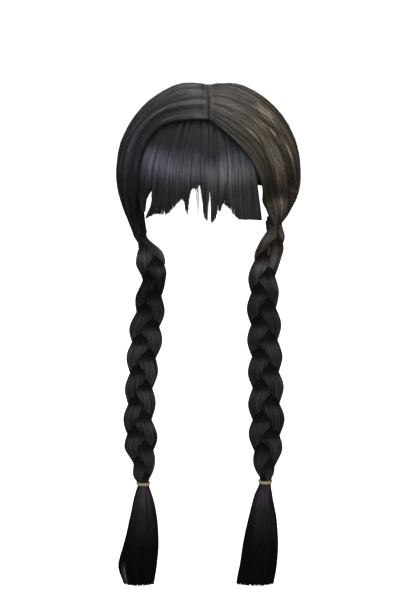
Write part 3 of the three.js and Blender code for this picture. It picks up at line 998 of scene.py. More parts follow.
@dataclass
class Fringe:
    """The full fringe, which follows the forehead and hangs free below the widest level.

    Each hair is told by `middle`, the angle round from the front where it passes the widest level.
    The root line gives the angle above that level where it starts. The hem gives the angle of its
    tip, how far it hangs below the level, and how far it bows aside on the way.
    """

    head: Head
    streaks: HairStreaks
    tree: StrandTree
    root: Rows = ROOT_LINE
    hem: Rows = HEM
    root_lift: float = 7.5
    front_lift: float = 12
    thickness: float = 4
    tip_share: float = 0.5
    arc_radius: float = 100
    least_hang: float = 6
    shell_stop: float = 3
    shell_clear: float = 9
    strand_count: int = 1500
    steps: int = 17
    strand_radius: float = 0.46
    flow_across: float = 1.9
    seed: int = 100
    wisp_seed: int = 150
    thin_share: float = 0.2
    past_hem: float = 3
    level_from: float = 9
    # Painted light: a highlight band across the forehead, and painted shade at the roots, below the band and
    # at the right end.
    highlight_band_level: float = 28
    highlight_band_level_middle: float = 16
    highlight_band_middle: float = 2.5
    highlight_band_middle_width: float = 8
    root_shade: float = 0.16
    highlight_band_shade: float = 1.38
    low_shade: float = 0.4
    end_shade: float = 0.8
    finish: HairFinish = HairFinish(
        "fringe_hair_fibre", "0b0c0c", "4a4b44", "53565d", 140, rough=0.34, relief=0.12
    )

    def lift(self, upward: Array) -> Array:
        """Lift of the outer face over the head, by the upward share of a direction.

        Args:
            upward: The Z of each unit direction.

        Returns:
            The lift.
        """
        low = (self.head.half_length + self.front_lift) / np.sqrt(1 - np.minimum(upward, 0) ** 2)
        high = mix(self.front_lift, self.root_lift, smooth(upward, 0.1, 0.7))
        return np.where(upward > 0, high, low - self.head.half_length)

    def cover(self, side: Side, unit: Array) -> Array:
        """1 in the directions that the fringe takes up on a side, down to 0 outside them.

        Args:
            side: Side of the head.
            unit: Directions from the head's centre.

        Returns:
            The cover in each direction.
        """
        around = np.degrees(np.arctan2(np.abs(unit[..., 0]), -unit[..., 1]))
        above = np.degrees(np.arcsin(np.clip(unit[..., 2], -1, 1)))
        edge = (side.value * self.root.at).max()
        top = self.root.values.max()
        beside = smooth(around, edge + 2, edge + 12)
        behind = smooth(above, top + 2, top + 12)
        return (1 - beside) * (1 - behind)

    def arc(self, middle: Array) -> Array:
        """Length of a hair from its root to the widest level."""
        return np.radians(self.root.straight(middle)["above"]) * self.arc_radius

    def place(
        self, middle: Array, gone: Array, deep: Array, aside: Array | float = 0.0, end: Wisp | None = None
    ) -> Array:
        """Points of hairs.

        Args:
            middle: Which hairs.
            gone: Length from the root.
            deep: Height over the middle of the fringe's thickness.
            aside: Angle to one side, out of the hair's own way.
            end: Where the hairs end, in place of the hem.

        Returns:
            The points.
        """
        hem = vars(end) | {"bow": 0.0} if end else self.hem.straight(middle)
        arc = self.arc(middle)
        past = np.maximum(0, gone - arc)
        free = np.clip(past / np.maximum(hem["hang"], self.least_hang), 0, 1)
        bow = hem["bow"] * np.sin(np.pi * free**1.15) ** 2
        around = middle + (hem["tip"] - middle) * free + bow + aside
        above = self.root.straight(middle)["above"] * np.maximum(0, 1 - gone / arc)
        lift = self.lift(np.sin(np.radians(above))) - self.thickness / 2
        lift = lift + deep * mix(1, self.tip_share, free)
        points = self.head.over(self.head.direction(around, above), lift)
        points[..., 2] -= past
        return points

    @staticmethod
    def relief(middle: Array, gone: Array) -> Array:
        """Height of the locks and of the finer tresses over the even face."""
        locks = 0.75 * np.sin(2 * np.pi * middle / 7.3 + 0.8 * np.sin(middle / 6))
        return locks + 0.35 * np.sin(2 * np.pi * middle / 2.7 + 0.02 * gone + np.sin(middle / 3))

    def shade(self, middle: Array, gone: Array) -> Array:
        """A painted highlight band over the forehead, lower in the middle, with painted shade around it
        and at its right end.

        Args:
            middle: Which hairs.
            gone: Length from the root.

        Returns:
            The brightness.
        """
        above = self.arc(middle) - gone
        dip = np.exp(-(((middle - self.highlight_band_middle) / self.highlight_band_middle_width) ** 2))
        highlight_band = mix(self.highlight_band_level, self.highlight_band_level_middle, dip)
        # Painted shade at the roots under the crown hair, rising to the painted highlight band.
        root = mix(self.root_shade, self.highlight_band_shade, smooth(above, highlight_band + 19, highlight_band + 5))
        tress = mix(0.7, 1.25, smooth(wander(31, middle / 40, gone / 400), -0.8, 0.8))
        low = mix(1, self.low_shade, smooth(above, highlight_band - 12, highlight_band - 34))
        return root * tress * low * mix(1, self.end_shade, smooth(-middle, 27, 36))

    def shell(self) -> bpy.types.Object:
        """The body under the hairs, which stops above the free tips.

        Returns:
            The body.
        """
        count, steps = 150, 22
        middle = np.linspace(*self.root.at[[0, -1]], count)[:, None]
        short = np.minimum(0, self.hem.straight(middle)["hang"] - self.shell_clear)
        end = self.arc(middle) - self.shell_stop + short
        t = np.concatenate([np.linspace(0, 1, steps), np.linspace(1, 0, steps)])[None, :]
        face = np.repeat([1, -1], steps)[None, :]
        thin = mix(0.15, 0.75, np.minimum(smooth(t, 0, 0.1), smooth(1 - t, 0, 0.1)))
        deep = face * thin * self.thickness / 2 + np.where(face > 0, self.relief(middle, t * end), 0)
        middle = middle + 0 * t
        rings = self.place(middle, t * end, deep)
        flow = np.stack([self.flow_across * middle, t * end, 0.4 + 0 * middle], axis=-1)
        # The body under the hairs is painted darker, as shade between them.
        return Shell(rings, flow, 0.7 * self.shade(middle, t * end)).build("fringe_body")

    def strands(self) -> Strands:
        """The hairs of the fringe, cut to the hem.

        Returns:
            The strands.
        """
        rng = np.random.default_rng(self.seed)
        column = (self.strand_count, 1)
        middle = np.linspace(*self.root.at[[0, -1]], self.strand_count)[:, None]
        middle = middle + rng.normal(0, 0.06, column)
        t = np.linspace(0, 1, self.steps)[None, :] ** 0.9
        thin = (rng.random(column) < self.thin_share) & (middle < self.level_from)
        past_hem = np.where(thin, rng.uniform(0, self.past_hem, column), -np.abs(rng.normal(0, 0.35, column)))
        length = self.arc(middle) + self.hem.straight(middle)["hang"] + past_hem
        start = rng.uniform(0, 12, column)
        gone = start + (length - start) * t
        middle = middle + 0 * t
        clump = 0.16 * np.sin(2 * np.pi * middle / 1.6 + 2 * np.sin(middle / 5)) * smooth(t, 0.7, 1)
        sway = 0.25 * sines(rng, column, t, 0.5, 1.3) * t
        outer = rng.random(column) < 0.7
        high, low = rng.uniform(0.6, 1.25, column), rng.uniform(-1, 0.5, column)
        deep = np.where(outer, high, low) * self.thickness / 2
        deep = deep + np.where(outer, self.relief(middle, gone), 0)
        paths = self.place(middle, gone, deep, clump + sway)
        taper = mix(1, 0.5, smooth(t, 0.88, 1.0)) * mix(0.5, 1, smooth(t, 0, 0.06))
        radius = self.strand_radius * rng.uniform(0.75, 1.2, column) * taper * np.where(thin, 0.5, 1)
        tint = rng.random(column) + 0 * t
        flow = np.stack([self.flow_across * middle, gone, tint], axis=-1)
        return Strands(paths, radius, flow, self.shade(middle, gone) * mix(0.85, 1.15, tint))

    def loose(self, wisp: Wisp, seed: int) -> Strands:
        """The hairs of one wisp.

        Args:
            wisp: The wisp.
            seed: Seed of its scatter.

        Returns:
            Its strands.
        """
        rng = np.random.default_rng(seed)
        column = (wisp.hairs, 1)
        t = np.linspace(0, 1, self.steps)[None, :]
        middle = wisp.middle + rng.normal(0, 0.5, column) + 0 * t
        gone = (self.arc(middle) + wisp.hang + rng.normal(0, 1.2, column)) * mix(0.45, 1, t)
        aside = rng.normal(0, 0.35, column) * smooth(t, 0.5, 1)
        paths = self.place(middle, gone, self.thickness * rng.uniform(-0.2, 0.4, column), aside, wisp)
        radius = self.strand_radius * 0.55 * mix(1, 0.4, smooth(t, 0.6, 1)) + 0 * middle
        flow = np.stack([self.flow_across * middle, gone, 0.9 + 0 * middle], axis=-1)
        return Strands(paths, radius, flow, 1.3 + 0 * middle)

    def build(self) -> bpy.types.Object:
        """The whole fringe as one dressed piece.

        Returns:
            The piece.
        """
        finish = self.finish.material(self.streaks)
        wisps = [self.loose(wisp, self.wisp_seed + k) for k, wisp in enumerate(WISPS)]
        strands = Strands.join([self.strands(), *wisps])
        piece = dressed("hair_fringe", self.shell(), strands, self.tree, finish)
        return hang(piece, "fringe", "fringe_hair")


@dataclass(frozen=True)
class Gather:
    """Where the swept hair of a side is drawn together.

    out and down place it from the head's centre, in shares of the half width and the rise. lobe is
    the length of a plait lobe in plait widths, and outer_lobe the share of the plait where one
    stands out. lean is how far the hair goes outwards on its way down from here, inner_width how
    far it reaches towards the head, and plait_width half the width that the plait starts with.
    """

    side: Side
    out: float
    down: float
    lobe: float
    outer_lobe: float
    lean: float
    inner_width: float
    plait_width: float
    half_width: float = 8.4
    half_depth: float = 14
    back: float = 4

    def point(self, head: Head) -> Array:
        """The middle of the gather."""
        x = self.side.value * head.half_width * self.out
        return np.array([x, self.back, -head.rise * (1 + self.down)])


GATHERS = {
    Side.LEFT: Gather(Side.LEFT, 0.89, 0.667, 1.06, 0.622, -0.1, 6.6, 7.2),
    Side.RIGHT: Gather(Side.RIGHT, 0.941, 0.836, 1.024, 0.605, -0.35, 4.5, 5.8),
}

SWEEP_COLUMNS = "part upper_around upper_above lower_around lower_above"
SWEEPS = {
    Side.LEFT: Rows(
        SWEEP_COLUMNS,
        (0, 46, 28, 21, 46, -13),
        (0.2, 62, 50, 33, 62, -12),
        (0.4, 86, 72, 45, 80, -8),
        (0.6, 116, 100, 41, 99, -10),
        (0.8, 152, 130, 16, 108, -13),
        (1, 195, 142, -17, 110, -19),
    ),
    Side.RIGHT: Rows(
        SWEEP_COLUMNS,
        (0, 46, 50, 34, 56, -8),
        (0.2, 62, 64, 37, 69, -10),
        (0.4, 86, 78, 45, 83, -10),
        (0.6, 116, 101, 41, 100, -12),
        (0.8, 152, 130, 16, 109, -16),
        (1, 195, 144, -18, 110, -22),
    ),
}


@dataclass(frozen=True)
class PaintedStreak:
    """A painted highlight or painted shadow streak on the swept hair.

    gain is the change of brightness in its middle and wide its half width. way lists its places
    from the parting down, each as a share of the way along the hair and one round from the front.
    """

    gain: float
    wide: float
    way: tuple[Span, ...]

    def factor(self, share: Array, along: Array) -> Array:
        """Change of brightness at each place, 1 away from the streak.

        Args:
            share: Share of the way from front to back.
            along: Share of the way from the parting to the gather.

        Returns:
            The factor.
        """
        place = np.array(self.way)
        middle = np.interp(along, place[:, 0], place[:, 1])
        start, end = place[0, 0], place[-1, 0]
        there = smooth(along, start - 0.04, start + 0.02) * (1 - smooth(along, end - 0.02, end + 0.04))
        return self.gain ** (there * np.exp(-(((share - middle) / self.wide) ** 2)))


# Painted highlights, with gain above 1, and painted shadows, with gain below 1, on each side's swept hair.
PAINTED_STREAKS = {
    Side.LEFT: (
        PaintedStreak(4.4, 0.012, ((0.27, 0.335), (0.34, 0.362))),
        PaintedStreak(5.6, 0.01, ((0.28, 0.296), (0.34, 0.318))),
        PaintedStreak(4.6, 0.011, ((0.3, 0.262), (0.36, 0.285))),
        PaintedStreak(4.0, 0.01, ((0.305, 0.214), (0.38, 0.246), (0.433, 0.267), (0.5, 0.292))),
        PaintedStreak(2.2, 0.009, ((0.255, 0.19), (0.32, 0.212))),
        PaintedStreak(4.6, 0.01, ((0.25, 0.113), (0.325, 0.12))),
        PaintedStreak(2.0, 0.016, ((0.32, 0.05), (0.38, 0.072))),
        PaintedStreak(1.5, 0.04, ((0.371, 0.096), (0.454, 0.154), (0.53, 0.19))),
        PaintedStreak(0.3, 0.013, ((0.35, 0.175), (0.429, 0.221), (0.5, 0.258), (0.6, 0.285))),
        PaintedStreak(4.0, 0.01, ((0.54, 0.15), (0.6, 0.215), (0.66, 0.32))),
        PaintedStreak(0.3, 0.06, ((0.52, 0.05), (0.596, 0.12), (0.65, 0.19))),
        PaintedStreak(10.0, 0.09, ((0.64, 0.13), (0.7, 0.11), (0.77, 0.09), (0.85, 0.09), (1.05, 0.15))),
        PaintedStreak(0.5, 0.02, ((0.3, 0.005), (0.7, 0.0))),
    ),
    Side.RIGHT: (
        PaintedStreak(2.6, 0.02, ((0.32, 0.0), (0.57, 0.0))),
        PaintedStreak(1.5, 0.1, ((0.36, 0.3), (0.47, 0.4))),
        PaintedStreak(2.0, 0.012, ((0.42, 0.192), (0.49, 0.183))),
        PaintedStreak(1.5, 0.03, ((0.52, 0.304), (0.68, 0.304))),
        PaintedStreak(1.7, 0.05, ((0.7, 0.15), (0.86, 0.09))),
        PaintedStreak(1.6, 0.1, ((0.84, 0.1), (1.05, 0.2))),
    ),
}


@dataclass(frozen=True)
class CrossLock:
    """A lock that lies over the swept hair, by its place at its two ends."""

    share_start: float
    share_end: float
    along_start: float
    along_end: float
    wide: float
    rise: float
    hairs: int


CROSS_LOCKS = {
    Side.LEFT: (
        CrossLock(0.1, 0.42, 0.46, 0.8, 0.03, 2.2, 34),
        CrossLock(0.21, 0.32, 0.16, 0.75, 0.025, 1.8, 26),
        CrossLock(0.3, 0.4, 0.12, 0.7, 0.025, 1.4, 24),
    ),
    Side.RIGHT: (
        CrossLock(0.0, 0.02, 0.22, 0.72, 0.02, 0.9, 22),
        CrossLock(0.2, 0.32, 0.2, 0.8, 0.03, 1.2, 24),
    ),
}


@dataclass
class SweptHair:
    """The hair of one half of the head, swept from the parting to its gather."""

    side: Side
    head: Head
    fringe: Fringe
    streaks: HairStreaks
    tree: StrandTree
    finish: HairFinish
    depth_side: float = 22.4
    depth_front: float = 18
    depth_top: float = 15
    edge_depth: float = 3.6
    parting_share: float = 0.3
    groove: float = 2.2
    locks: int = 8
    fine_locks: int = 34
    fine_groove: float = 0.9
    fine_tress: float = 0.8
    parting_gap: float = -0.4
    front_taper: float = 0.24
    nape_taper: float = 0.22
    parting_taper: float = 0.16
    drawn_from: float = 0.66
    overrun: float = 400
    narrowing: float = 14
    slack: float = 2.8
    flow_across: float = 200
    flow_along: float = 250
    groove_shade: float = 0.4
    dark_tress: float = 0.28
    light_tress: float = 1.8
    drawn_shade: float = 0.6
    parting_shade: float = 0.3
    seed: int = 500
    lining_seed: int = 540
    lock_seed: int = 560
    strand_count: int = 960
    inner_count: int = 150
    steps: int = 20
    strand_radius: float = 0.55

    def direction(self, share: Array, along: Array) -> Array:
        """Unit directions of the hair from the head's centre.

        Args:
            share: Share of the way from front to back.
            along: Share of the way from the parting to the gather.

        Returns:
            The directions, on smooth paths through the guides.
        """
        row = SWEEPS[self.side].read(share)
        gather = GATHERS[self.side].point(self.head) - self.head.centre
        end = np.abs(gather * [1, 0, 0]) + gather * [0, 1, 1]
        end = end / (self.head.halves + self.depth_side)
        end = np.broadcast_to(end / np.linalg.norm(end), (*np.shape(share), 3))
        start = self.head.direction(0 * row["part"], row["part"])
        upper = self.head.direction(row["upper_around"], row["upper_above"])
        lower = self.head.direction(row["lower_around"], row["lower_above"])
        guides = np.stack([2 * start - upper, start, upper, lower, end, 2 * end - lower])
        place = np.clip(along, 0, 1) * 3
        seg = np.clip(np.floor(place), 0, 2).astype(int)
        w = (place - seg)[..., None]
        p = [np.take_along_axis(guides, (seg + k)[None, ..., None], axis=0)[0] for k in range(4)]
        d = [np.sum((p[k + 1] - p[k]) ** 2, axis=-1, keepdims=True) ** 0.25 for k in range(3)]
        t1 = (p[1] - p[0]) / d[0] - (p[2] - p[0]) / (d[0] + d[1]) + (p[2] - p[1]) / d[1]
        t2 = (p[2] - p[1]) / d[1] - (p[3] - p[1]) / (d[1] + d[2]) + (p[3] - p[2]) / d[2]
        t1, t2 = t1 * d[1], t2 * d[1]
        curve = p[1] + t1 * w + (-3 * p[1] + 3 * p[2] - 2 * t1 - t2) * w**2
        curve = curve + (2 * p[1] - 2 * p[2] + t1 + t2) * w**3
        unit = curve / np.linalg.norm(curve, axis=-1, keepdims=True)
        return unit * [self.side.value, 1, 1]

    def inner_lift(self, unit: Array) -> Array:
        """Lift of the face that lies on the cap, or on the fringe's root."""
        return mix(2, self.fringe.lift(unit[..., 2]), self.fringe.cover(self.side, unit)) + 1.2

    def outer_lift(self, unit: Array, share: Array, along: Array) -> Array:
        """Lift of the outer face, with its locks.

        Args:
            unit: Directions from the head's centre.
            share: Share of the way from front to back.
            along: Share of the way from the parting to the gather.

        Returns:
            The lift.
        """
        full = unit**2 @ np.array([self.depth_side, self.depth_front, self.depth_top])
        front = smooth(share, -self.front_taper / 6, self.front_taper)
        nape = smooth(1 - share, -self.nape_taper / 4, self.nape_taper)
        parting = mix(self.parting_share, 1, smooth(along, 0, self.parting_taper))
        thin = self.inner_lift(unit) + self.edge_depth
        lift = mix(thin, np.maximum(thin, full), front * nape * parting)
        inside = np.clip(np.minimum(share, 1 - share) * self.locks, 0, 1)
        fade = smooth(along, 0, self.parting_taper) * (1 - smooth(along, self.drawn_from, 1))
        bend = share + 0.012 * wander(7 + self.side.value, 2 * share, 1.4 * along)
        deep = np.abs(np.cos(np.pi * self.locks * bend)) ** 3
        fine = np.abs(np.cos(np.pi * self.fine_locks * (bend + 0.006 * np.sin(5 * along + 40 * share)))) ** 2
        return lift - (self.groove * deep * inside + self.fine_groove * fine) * fade

    def point(self, share: Array, along: Array, proud: Array | float, outward: bool = True) -> Array:
        """Points of the hair.

        Args:
            share: Share of the way from front to back.
            along: Share of the way from the parting to the gather, above 1 past it.
            proud: Height over the outer face.
            outward: Whether the outer face is meant, not the inner one.

        Returns:
            The points.
        """
        gather = GATHERS[self.side]
        held = np.minimum(along, 1)
        unit = self.direction(share, held)
        inner = self.inner_lift(unit) - self.slack * smooth(held, 0.82, 0.95)
        lift = self.outer_lift(unit, share, held) + proud if outward else inner
        drawn = smooth(held, self.drawn_from, 1)
        half = gather.half_width + proud if outward else -gather.inner_width
        half = half + 0 * share
        x = self.side.value * half * np.sin(np.pi * mix(0.03, 0.97, share))
        y = -(gather.half_depth + (proud if outward else 0)) * np.cos(np.pi * mix(0.03, 0.97, share))
        bundle = np.stack([x, y, 0 * x], axis=-1) + gather.point(self.head)
        points = mix(self.head.over(unit, lift), bundle, drawn[..., None])
        least = inner + self.edge_depth * (1 - drawn) + np.minimum(proud, 0) if outward else inner
        points = self.head.at_least(points, least)
        middle = np.maximum(self.side.value * points[..., 0], self.parting_gap)
        points[..., 0] = self.side.value * middle
        past = (along - held) * self.overrun
        narrower = smooth(past, 0, self.narrowing)[..., None] * [0.45, 0.45, 0]
        points = mix(points, gather.point(self.head), narrower)
        points[..., 0] += self.side.value * gather.lean * past
        points[..., 2] -= past
        return points

    def flow(self, share: Array, along: Array, tint: Array) -> Array:
        """Place across and along the hair in about millimetres, with the tint."""
        return np.stack([self.flow_across * share, self.flow_along * along, tint], axis=-1)

    def shell(self) -> bpy.types.Object:
        """The body of the hair under its strands.

        Returns:
            The body.
        """
        inner, per, count = 48, 4, 64
        outer = inner * per
        along = np.linspace(0, 1, count)[:, None]
        share_out = np.linspace(0, 1, outer + 1)[None, :] + 0 * along
        share_in = np.linspace(1, 0, inner + 1)[None, :] + 0 * along
        face = self.point(share_out, along + 0 * share_out, 0.0)
        back = self.point(share_in, along + 0 * share_in, 0.0, outward=False)
        rings = np.concatenate([face, back], axis=1)
        share = np.concatenate([share_out, share_in], axis=1)
        length = along + 0 * share
        flow = self.flow(share, length, 0.45 + 0 * share)
        # The body under the strands is painted darker, as shade between them.
        shade = 0.75 * self.shade(share, length)
        return Shell(rings, flow, shade, stitched=per).build(f"swept_body_{self.side.label}")

    def shade(self, share: Array, along: Array) -> Array:
        """Random light and dark tresses, with painted shade in the grooves, at the parting and where the hair
        is drawn in, and the painted highlight and shadow streaks.

        Args:
            share: Share of the way from front to back.
            along: Share of the way from the parting to the gather.

        Returns:
            The brightness.
        """
        deep = np.abs(np.cos(np.pi * self.locks * share)) ** 3
        tress = wander(60 + self.side.value, 2.6 * share, 0.35 * along, 7)
        fine = wander(80 + self.side.value, 9 * share, 0.9 * along, 6)
        tress = tress + self.fine_tress * fine
        drawn = mix(1, self.drawn_shade, smooth(along, 0.48, 0.6))
        parting = mix(self.parting_shade, 1, smooth(along, 0, 0.07))
        tone = mix(self.dark_tress, self.light_tress, smooth(tress, -1, 1))
        # Painted shade in the grooves, where the hair is drawn in and at the parting.
        even = (1 - self.groove_shade * deep) * tone * drawn * parting
        return even * math.prod(streak.factor(share, along) for streak in PAINTED_STREAKS[self.side])

    def strands(self) -> Strands:
        """The fibres that lie on the body, combed from the parting to the gather.

        Returns:
            The strands.
        """
        rng = np.random.default_rng(self.seed + self.side.value)
        count, steps = self.strand_count, self.steps
        share = ((np.arange(count) + rng.random(count)) / count)[:, None]
        column = (count, 1)
        start = either(rng, column, 0.65, (0, 0.004), (0.02, 0.5))
        end = either(rng, column, 0.55, (0.98, 1.04), (0.72, 0.98))
        t = np.linspace(0, 1, steps)[None, :]
        along = start + (end - start) * t
        sway = rng.normal(0, 0.006, column) * np.sin(np.pi * t)
        sway = sway + 0.004 * sines(rng, column, t, 0.5, 1.6)
        share = np.clip(share + sway, 0.003, 0.997)
        proud = rng.uniform(-0.15, 0.45, column) + 0.2 * sines(rng, column, t, 0.4, 1.2)
        ends = np.minimum(smooth(t, 0, 0.04), smooth(1 - t, 0, 0.08))
        paths = self.point(share, along, proud * ends - 0.7 * (1 - ends))
        radius = self.strand_radius * rng.uniform(0.7, 1.25, column) * mix(0.3, 1, ends)
        radius = radius * mix(1, 0.7, smooth(along, 0.75, 1))
        tint = rng.random(column) + 0 * t
        flow = self.flow(share, along, tint)
        return Strands(paths, radius, flow, self.shade(share, along) * mix(0.8, 1.2, tint))

    def lining(self) -> Strands:
        """The fibres on the inner face, seen from the front and from below.

        Returns:
            The strands.
        """
        rng = np.random.default_rng(self.lining_seed + self.side.value)
        column = (self.inner_count, 1)
        t = np.linspace(0, 1, self.steps)[None, :]
        share = (np.arange(self.inner_count)[:, None] + rng.random(column)) / self.inner_count
        share = np.clip(share, 0.01, 0.99)
        along = mix(rng.uniform(0.3, 0.4, column), rng.uniform(1.01, 1.035, column), t)
        share = share + 0.004 * sines(rng, column, t, 0.5, 1.6)
        paths = self.point(share, along, 0.0, outward=False)
        tint = rng.random(column) + 0 * t
        radius = self.strand_radius * mix(1.1, 0.5, smooth(along, 0.97, 1.03)) + 0 * tint
        flow = self.flow(share, along, tint)
        # The inner face is painted dark, as shade, lightening towards the gather.
        return Strands(paths, radius, flow, mix(0.3, 0.8, smooth(along, 0.8, 1)) * mix(0.7, 1.25, tint))

    def crossing(self, lock: CrossLock, seed: int) -> Strands:
        """The fibres of a lock that lies over the others.

        Args:
            lock: The lock.
            seed: Seed of its scatter.

        Returns:
            Its strands.
        """
        rng = np.random.default_rng(seed)
        column = (lock.hairs, 1)
        t = np.linspace(0, 1, self.steps)[None, :]
        aside = np.linspace(-1, 1, lock.hairs)[:, None] + rng.normal(0, 0.08, column)
        along = mix(lock.along_start, lock.along_end, t) + rng.uniform(-0.03, 0.03, column)
        spread = lock.wide * aside * np.sin(np.pi * mix(0.12, 0.94, t))
        share = np.clip(mix(lock.share_start, lock.share_end, smooth(t, -0.4, 1.1)) + spread, 0.003, 0.997)
        hump = np.sin(np.pi * np.clip(t, 0, 1)) ** 0.6
        proud = lock.rise * np.maximum(0, 1 - aside**2) + rng.uniform(-0.2, 0.3, column)
        proud = proud * hump - 0.6 * (1 - hump)
        paths = self.point(share, along, proud)
        tint = rng.random(column) + 0 * t
        radius = self.strand_radius * mix(0.4, 1, hump) + 0 * tint
        flow = self.flow(share, along, tint)
        # The crossing lock is painted a little lighter, as a highlight where it stands proud.
        return Strands(paths, radius, flow, 1.15 * self.shade(share, along) * mix(0.8, 1.2, tint))

    def build(self) -> bpy.types.Object:
        """The side's hair as one dressed piece.

        Returns:
            The piece.
        """
        finish = self.finish.material(self.streaks)
        label = self.side.label
        locks = enumerate(CROSS_LOCKS[self.side])
        crossings = [self.crossing(lock, self.lock_seed + k) for k, lock in locks]
        strands = Strands.join([self.strands(), self.lining(), *crossings])
        piece = dressed(f"hair_swept_{label}", self.shell(), strands, self.tree, finish)
        return hang(piece, f"swept_hair_{label}", "crown_hair")


PLAIT_ROWS = {
    Side.LEFT: Rows(
        "out width depth",
        (0, 0.08, 0.48, 1.05),
        (0.04, 0.07, 0.64, 1),
        (0.08, 0.02, 0.76, 1),
        (0.13, -0.17, 0.82, 0.95),
        (0.2, -0.26, 0.84, 0.95),
        (0.38, -0.24, 0.95, 1),
        (0.62, -0.17, 1, 1),
        (0.83, -0.15, 0.96, 0.95),
        (0.91, -0.16, 0.71, 0.78),
        (0.938, -0.17, 0.57, 0.65),
        (0.953, -0.17, 0.475, 0.55),
        (1, -0.18, 0.38, 0.42),
    ),
    Side.RIGHT: Rows(
        "out width depth",
        (0, 0, 0.42, 1.05),
        (0.023, -0.12, 0.6, 1),
        (0.05, -0.2, 0.7, 1),
        (0.081, -0.28, 0.81, 0.98),
        (0.115, -0.345, 0.9, 0.95),
        (0.165, -0.35, 0.72, 0.9),
        (0.25, -0.27, 0.82, 0.95),
        (0.38, -0.13, 0.97, 1),
        (0.58, 0.03, 0.88, 1),
        (0.72, 0.09, 0.9, 0.95),
        (0.84, 0.04, 0.94, 0.95),
        (0.905, -0.01, 0.69, 0.77),
        (0.925, -0.02, 0.64, 0.7),
        (0.95, -0.02, 0.565, 0.62),
        (1, -0.03, 0.4, 0.45),
    ),
}


# Painted light along each plait: brighter on the knots near its top, with darker bands between and below
# them.
PLAIT_PAINTED_LIGHT = {
    Side.LEFT: Rows(
        "tone", (0, 1.1), (0.05, 1.6), (0.1, 0.8), (0.14, 2.1), (0.19, 1.7), (0.26, 0.8), (0.4, 1), (1, 0.9)
    ),
    Side.RIGHT: Rows(
        "tone", (0, 0.5), (0.03, 0.8), (0.06, 2), (0.1, 1.6), (0.15, 0.5), (0.23, 0.4), (0.3, 0.9), (1, 1)
    ),
}


